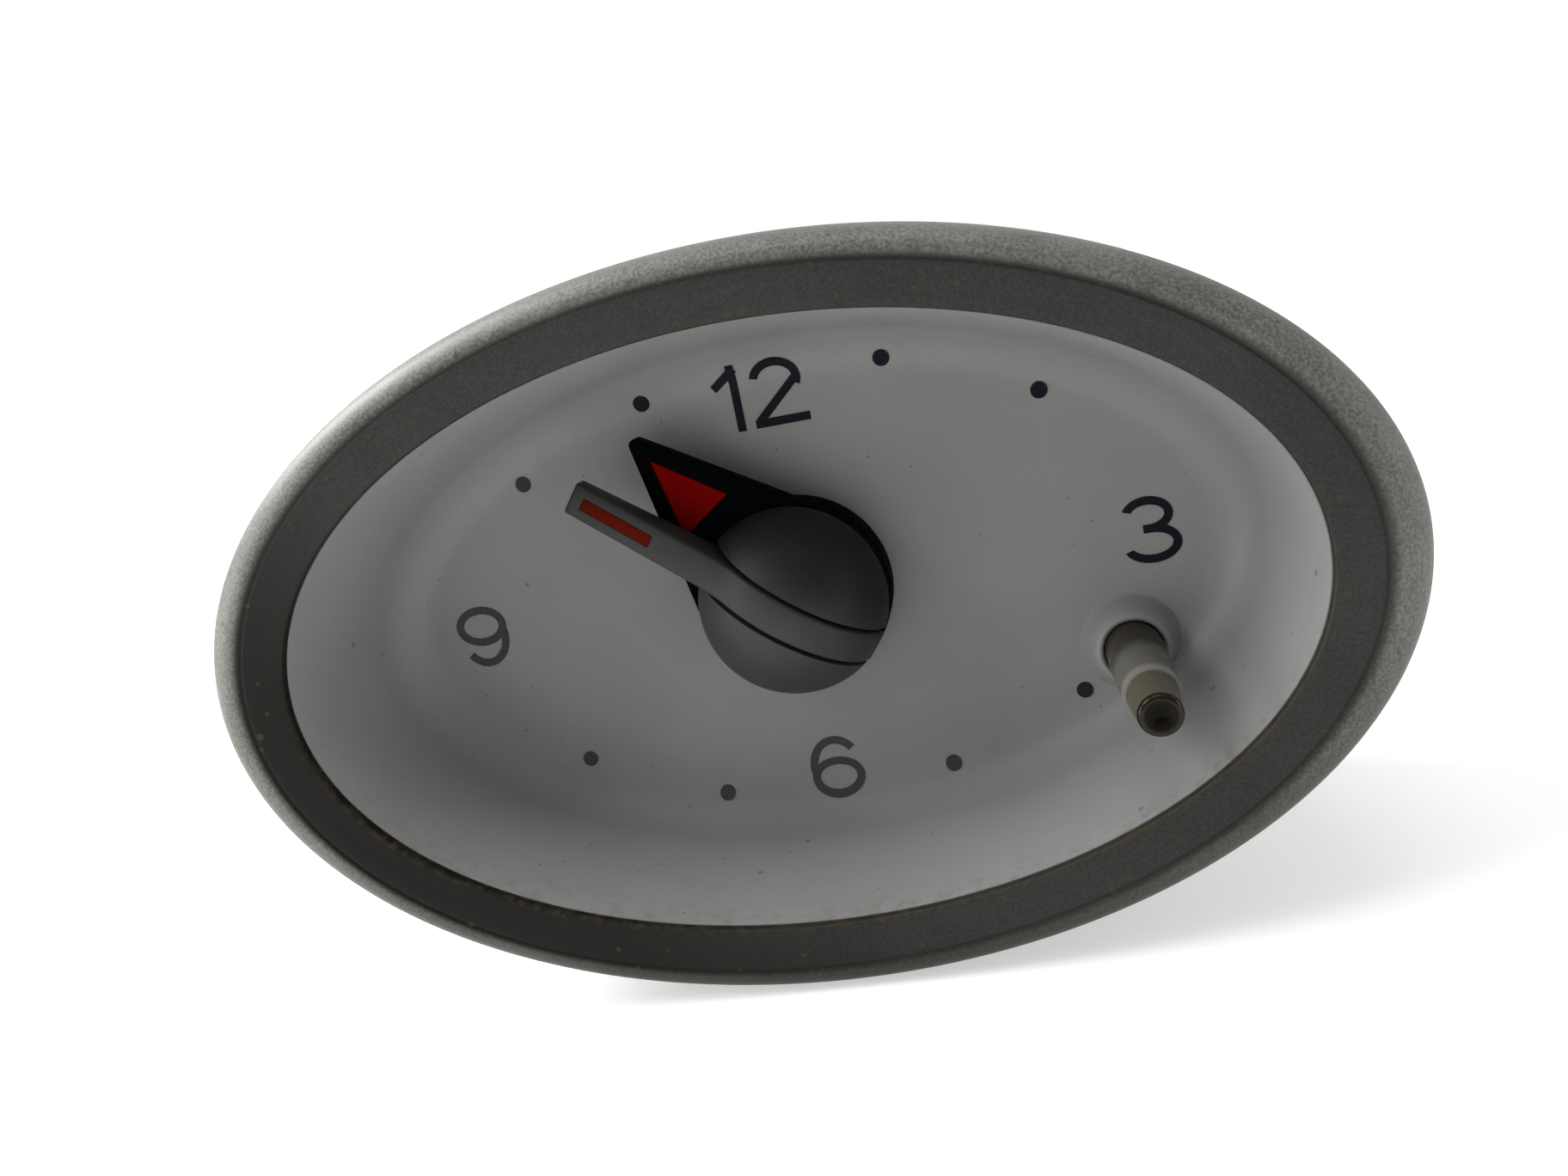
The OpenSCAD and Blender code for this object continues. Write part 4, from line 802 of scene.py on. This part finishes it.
def coil(size):
    thick = size["wire"]
    piece = start("stemSpring", bpy.ops.mesh.primitive_circle_add, vertices=size["sides"], radius=thick / 2,
                  rotation=(math.pi / 2, 0, 0))
    openEdit(piece)
    bpy.ops.transform.translate(value=(size["radius"], 0, springLow + thick / 2))
    closeEdit()
    shapeWith(piece, "SCREW", angle=2 * math.pi, screw_offset=(springTop - springLow - thick) / size["turns"],
              iterations=size["turns"], steps=size["steps"], axis="Z")
    openEdit(piece, "EDGE")
    pickBorders()
    bpy.ops.mesh.fill_holes(sides=0)
    closeEdit()
    return piece


stemSpring = move(coil(springSize), place=(stemX, stemY, 0))
settle(stemSpring, "clock_body", ["stem_spring"], paints["spring_steel"], 40)
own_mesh(stemSpring)
print("stem made")

# Case shell with clip pads and pegs
caseBack, caseFront = levels("case_shell")
caseSize = {"inside": 1.8, "outside": 3.3, "edge": 0.3}
padSize = {"deep": 1.4, "wide": 10, "low": -6.5, "high": 7.5, "face": 41.9, "edge": 0.15}
pegSize = {"radius": 1.2, "length": 1.3, "edge": 0.2, "level": -3.5, "root": 0.7}
clipSize = {"wide": 9, "thick": 0.6, "bow": 2.0, "foot": 6.0, "bend": 13.8, "catch": (1.0, 1.4), "lip": 0.4,
            "kink": 0.2, "edge": 0.14, "play": 0.05}


def caseSection(size):
    edge = size["edge"]
    section = [(size["outside"], caseBack), (size["outside"], caseFront - edge), (size["outside"] - edge, caseFront)]
    return section + [(size["inside"], caseFront), (size["inside"], caseBack)]


caseShell = ovalLoft("caseShell", [oval(d, z) for d, z in caseSection(caseSize)], closed=True)
pad = block("pad", (padSize["face"] - padSize["deep"], -padSize["wide"] / 2, padSize["low"]),
            (padSize["face"], padSize["wide"] / 2, padSize["high"]))
soften(pad, padSize["edge"])


def pegSection(size):
    return [(size["radius"], 0), (size["radius"], size["length"] - size["edge"]),
            (size["radius"] - size["edge"], size["length"])]


peg = lathe("peg", pegSection(pegSize), around=48)
combine(pad, move(peg, 90, "Y", (padSize["face"] - pegSize["root"], 0, pegSize["level"])), "UNION")
combine(caseShell, move(copyOf(pad), 180), "UNION")
combine(caseShell, pad, "UNION")
settle(caseShell, "clock_body", ["case_shell"], paints["case_white"])


# Leaf clips: foot, ramp and catch, with a hole for the peg
def clipOutline(size):
    bow, bend, catch, lip, thick = (size[key] for key in ("bow", "bend", "catch", "lip", "thick"))
    return [(0, 0), (0, size["foot"]), (bow, bend), (bow - catch[0], bend + catch[1]),
            (bow - catch[0] + lip, bend + catch[1] + lip), (bow + thick, bend),
            (thick, size["foot"] - size["kink"]), (thick, 0)]


clip = slab("clip", clipOutline(clipSize), -clipSize["wide"] / 2, clipSize["wide"] / 2)
soften(clip, clipSize["edge"], 10)
move(clip, 90, "X", (padSize["face"], 0, padSize["low"]))
hole = drill(pegSize["radius"] + clipSize["play"], 6, 48)
combine(clip, move(hole, 90, "Y", (padSize["face"], 0, pegSize["level"])), "DIFFERENCE")
dashClips = joinAll([clip, move(copyOf(clip), 180)])
dashClips.name = dashClips.data.name = "dashClips"
settle(dashClips, "clock_body", ["dash_clips"], paints["spring_steel"])

# Rear cover with the connector shroud
coverSize = {"thick": 1.8, "edge": 0.4, "margin": 4}
coverFace = caseBack - coverSize["thick"]
shroudEnd = levels("rear_cover")[0]
plugX, plugY = middle("connector_pins")
shroudSize = {"wide": 19.8, "high": 9.2, "wall": 1.4, "corner": 1.0, "inner": 0.4, "floor": 0.06,
              "root": 0.5, "edge": 0.15}


def coverSection(size):
    outside, edge = caseSize["outside"], size["edge"]
    section = [(outside, caseBack), (outside, coverFace + edge)]
    section += arc((outside - edge, coverFace + edge), edge, 0, -90, 5)
    return section + [(outside - size["margin"], coverFace)]


def roundedBlock(name, inset, low, high, corner):
    wide, tall = shroudSize["wide"] / 2 - inset, shroudSize["high"] / 2 - inset
    piece = block(name, (plugX - wide, plugY - tall, low), (plugX + wide, plugY + tall, high))
    pickEdges(piece, lambda first, second: abs(first.z - second.z) > 1)
    bpy.ops.mesh.bevel(offset=corner, segments=5, affect="EDGES")
    closeEdit()
    return piece


rearCover = ovalLoft("rearCover", [oval(d, z) for d, z in coverSection(coverSize)])
shroud = roundedBlock("shroud", 0, shroudEnd, coverFace + shroudSize["root"], shroudSize["corner"])
hollow = roundedBlock("hollow", shroudSize["wall"], shroudEnd - 1, coverFace - shroudSize["floor"],
                      shroudSize["inner"])
combine(shroud, hollow, "DIFFERENCE")
soften(shroud, shroudSize["edge"], 50, 2)
combine(rearCover, shroud, "UNION")
settle(rearCover, "clock_body", ["rear_cover"], paints["cover_black"])

# Cover screws: pan heads with a cross recess
screwHigh = nodeBox("cover_screws")[1]
screwSize = {"head": 2.2, "thick": 1.2, "edge": 0.4, "flat": 1.0, "slot": 0.5, "reach": 1.4, "deep": 0.55,
             "shank": 1.1, "length": 7}


def screwSection(size, top):
    section = [(size["shank"], coverFace + size["length"]), (size["shank"], coverFace), (size["head"], coverFace)]
    section += arc((size["head"] - size["edge"], top + size["edge"]), size["edge"], 0, -80, 5)
    return section + [(size["flat"], top)]


screwTop = coverFace - screwSize["thick"]
screw = lathe("screw", screwSection(screwSize, screwTop), around=64)
slot = block("slot", (-screwSize["reach"], -screwSize["slot"] / 2, screwTop - 1),
             (screwSize["reach"], screwSize["slot"] / 2, screwTop + screwSize["deep"]))
combine(screw, move(copyOf(slot), 90), "DIFFERENCE")
combine(screw, slot, "DIFFERENCE")
screwX = screwHigh.x - screwSize["head"]
screwY = screwHigh.z - screwSize["head"]
turns = {(-1, -1): 27, (-1, 1): 13, (1, -1): -20, (1, 1): 41}
screws = [move(copyOf(screw), turn, place=(x * screwX, y * screwY, 0)) for (x, y), turn in turns.items()]
bpy.data.objects.remove(screw)
coverScrews = joinAll(screws)
coverScrews.name = coverScrews.data.name = "coverScrews"
settle(coverScrews, "clock_body", ["cover_screws"], paints["steel"])

# Connector pins with tapered ends
pinLow, pinTop = levels("connector_pins")
pinSize = {"wide": 1.5, "thick": 0.6, "pitch": 6.0, "taper": 0.5, "taperLength": 0.8, "edge": 0.05}
pin = block("pin", (plugX - pinSize["wide"] / 2, plugY - pinSize["thick"] / 2, pinLow + pinSize["taperLength"]),
            (plugX + pinSize["wide"] / 2, plugY + pinSize["thick"] / 2, pinTop))
pickFaces(pin, lambda centre, normal: normal.z < -0.9)
bpy.ops.mesh.extrude_region_move(TRANSFORM_OT_translate={"value": (0, 0, -pinSize["taperLength"])})
bpy.ops.transform.resize(value=(pinSize["taper"], pinSize["taper"], 1))
closeEdit()
soften(pin, pinSize["edge"], 30, 2)
others = [move(copyOf(pin), place=(x, 0, 0)) for x in (-pinSize["pitch"], pinSize["pitch"])]
connectorPins = joinAll([pin] + others)
connectorPins.name = connectorPins.data.name = "connectorPins"
settle(connectorPins, "clock_body", ["connector_pins"], paints["gear_brass"])

# Lamp holder: stepped plug, cap and finger bar
lampX, lampY = middle("lamp_bulb")
lampBack, lampFront = levels("lamp_holder")
lampSize = {"cap": 5.5, "capThick": 1.6, "capFlat": 3.5, "plug": 4.3, "plugTop": -18.9, "nose": 3.5, "noseFlat": 2.7,
            "grip": (2.0, 8.0), "gripRoot": 1, "gripEdge": 0.3, "edge": 0.25}


def lampSection(size):
    edge = size["edge"]
    back = coverFace - size["capThick"]
    section = [(size["noseFlat"], lampFront), (size["nose"], lampFront), (size["nose"], size["plugTop"])]
    section += [(size["plug"], size["plugTop"]), (size["plug"], coverFace), (size["cap"], coverFace)]
    section += arc((size["cap"] - edge, back + edge), edge, 0, -90, 4)
    return section + [(size["capFlat"], back)]


lampHolder = lathe("lampHolder", lampSection(lampSize))
grip = block("grip", (-lampSize["grip"][0] / 2, -lampSize["grip"][1] / 2, lampBack),
             (lampSize["grip"][0] / 2, lampSize["grip"][1] / 2, coverFace - lampSize["gripRoot"]))
soften(grip, lampSize["gripEdge"])
combine(lampHolder, grip, "UNION")
move(lampHolder, place=(lampX, lampY, 0))
settle(lampHolder, "lamp_group", ["lamp_holder"], paints["lamp_green"])
print("rear pieces made")


# Rays that meet the white backdrop: those of the camera, and those of gloss and glass
def backdropRays(paint, share=1.0):
    rays = paint.node("ShaderNodeLightPath", out="Is Camera Ray")
    return rays + (rays.output("Is Glossy Ray") + rays.output("Is Transmission Ray")) * share


# Floor, kept white for the camera apart from its shadow, and lifted further out to meet the white world
floorSize = {"half": 3.0, "near": 0.02, "far": 0.4, "glowNear": 0.5, "glowFar": 0.85}
bpy.ops.object.select_all(action="DESELECT")
bpy.ops.mesh.primitive_plane_add(size=2 * floorSize["half"], location=(0, 0, cadBounds[0][2]))
floor = bpy.context.object
floor.name = "floor"
floorPaint = newPaint("floorPaint")
floorShade = floorPaint.blend(floorPaint.noise(40, 3), tint(223, 223, 222), tint(228, 228, 227))
floorPaint.surface({"Base Color": floorShade, "Roughness": 0.9, "Specular IOR Level": 0.1})
seen = backdropRays(floorPaint)
across, along, up = floorPaint.axes()
lift = (across * across + along * along).between(floorSize["near"], floorSize["far"], floorSize["glowNear"],
                                                 floorSize["glowFar"])
glow = floorPaint.node("ShaderNodeEmission", sockets={"Color": (1, 1, 1, 1), "Strength": seen * lift})
shader = Wire(floorPaint, floorPaint.tree.nodes["Principled BSDF"].outputs[0])
both = floorPaint.node("ShaderNodeAddShader", sockets={0: shader, 1: glow})
floorPaint.feed(floorPaint.tree.nodes["Material Output"].inputs["Surface"], both)
floor.data.materials.append(floorPaint.owner)

# World: white behind the object for the camera, and soft light from above, behind and the left
worldSize = {"above": 0.5, "behind": 0.5, "left": 0.27}
scene.world = bpy.data.worlds.new("studio")
sky = Paint(scene.world, "Generated")
x, y, z = sky.axes()
level = (z.atLeast(0) * worldSize["above"] + y.atLeast(0) * worldSize["behind"]
         + (0 - x).atLeast(0) * worldSize["left"])
rays = backdropRays(sky, y.between(-0.4, 0.2))
soft = sky.node("ShaderNodeBackground", sockets={"Color": (1, 1, 1, 1), "Strength": level})
white = sky.node("ShaderNodeBackground", sockets={"Color": (1, 1, 1, 1), "Strength": 1.0})
mixed = sky.node("ShaderNodeMixShader", sockets={0: rays, 1: soft, 2: white})
sky.feed(sky.tree.nodes["World Output"].inputs["Surface"], mixed)


# Soft lamps, turned to the object: the strongest stands behind it, above left
def lamp(name, place, power, size=0.3):
    data = bpy.data.lights.new(name, "AREA")
    data.size = size
    data.energy = power
    made = bpy.data.objects.new(name, data)
    made.matrix_world = Matrix.Translation(place) @ Vector(place).to_track_quat("Z", "Y").to_matrix().to_4x4()
    made.visible_camera = False
    scene.collection.objects.link(made)


lamp("key", (-0.44, 0.157, 0.377), 3.8)
lamp("left", (-0.584, -0.123, 0.062), 1.6)
lamp("aboveLeft", (-0.403, -0.186, 0.403), 1.7)
lamp("above", (0.0, -0.124, 0.587), 0.8)
lamp("right", (0.584, -0.123, 0.062), 0.75)

# Camera as in the photo
cameraSize = {"place": (18.63, -90.54, 23.59), "right": (0.96981, 0.14472, -0.19628), "up": (0.15609, 0.25, 0.95558),
              "back": (0.18736, -0.95737, 0.21986), "lens": 29.33}
cameraData = bpy.data.cameras.new("camera")
cameraData.sensor_fit = "HORIZONTAL"
cameraData.sensor_width = 36
cameraData.lens = cameraSize["lens"]
cameraData.clip_start = 0.005
camera = bpy.data.objects.new("camera", cameraData)
turned = Matrix([cameraSize["right"], cameraSize["up"], cameraSize["back"]]).transposed()
camera.matrix_world = Matrix.Translation(Vector(cameraSize["place"]) * metre) @ turned.to_4x4()
scene.collection.objects.link(camera)
scene.camera = camera
print("stage made")
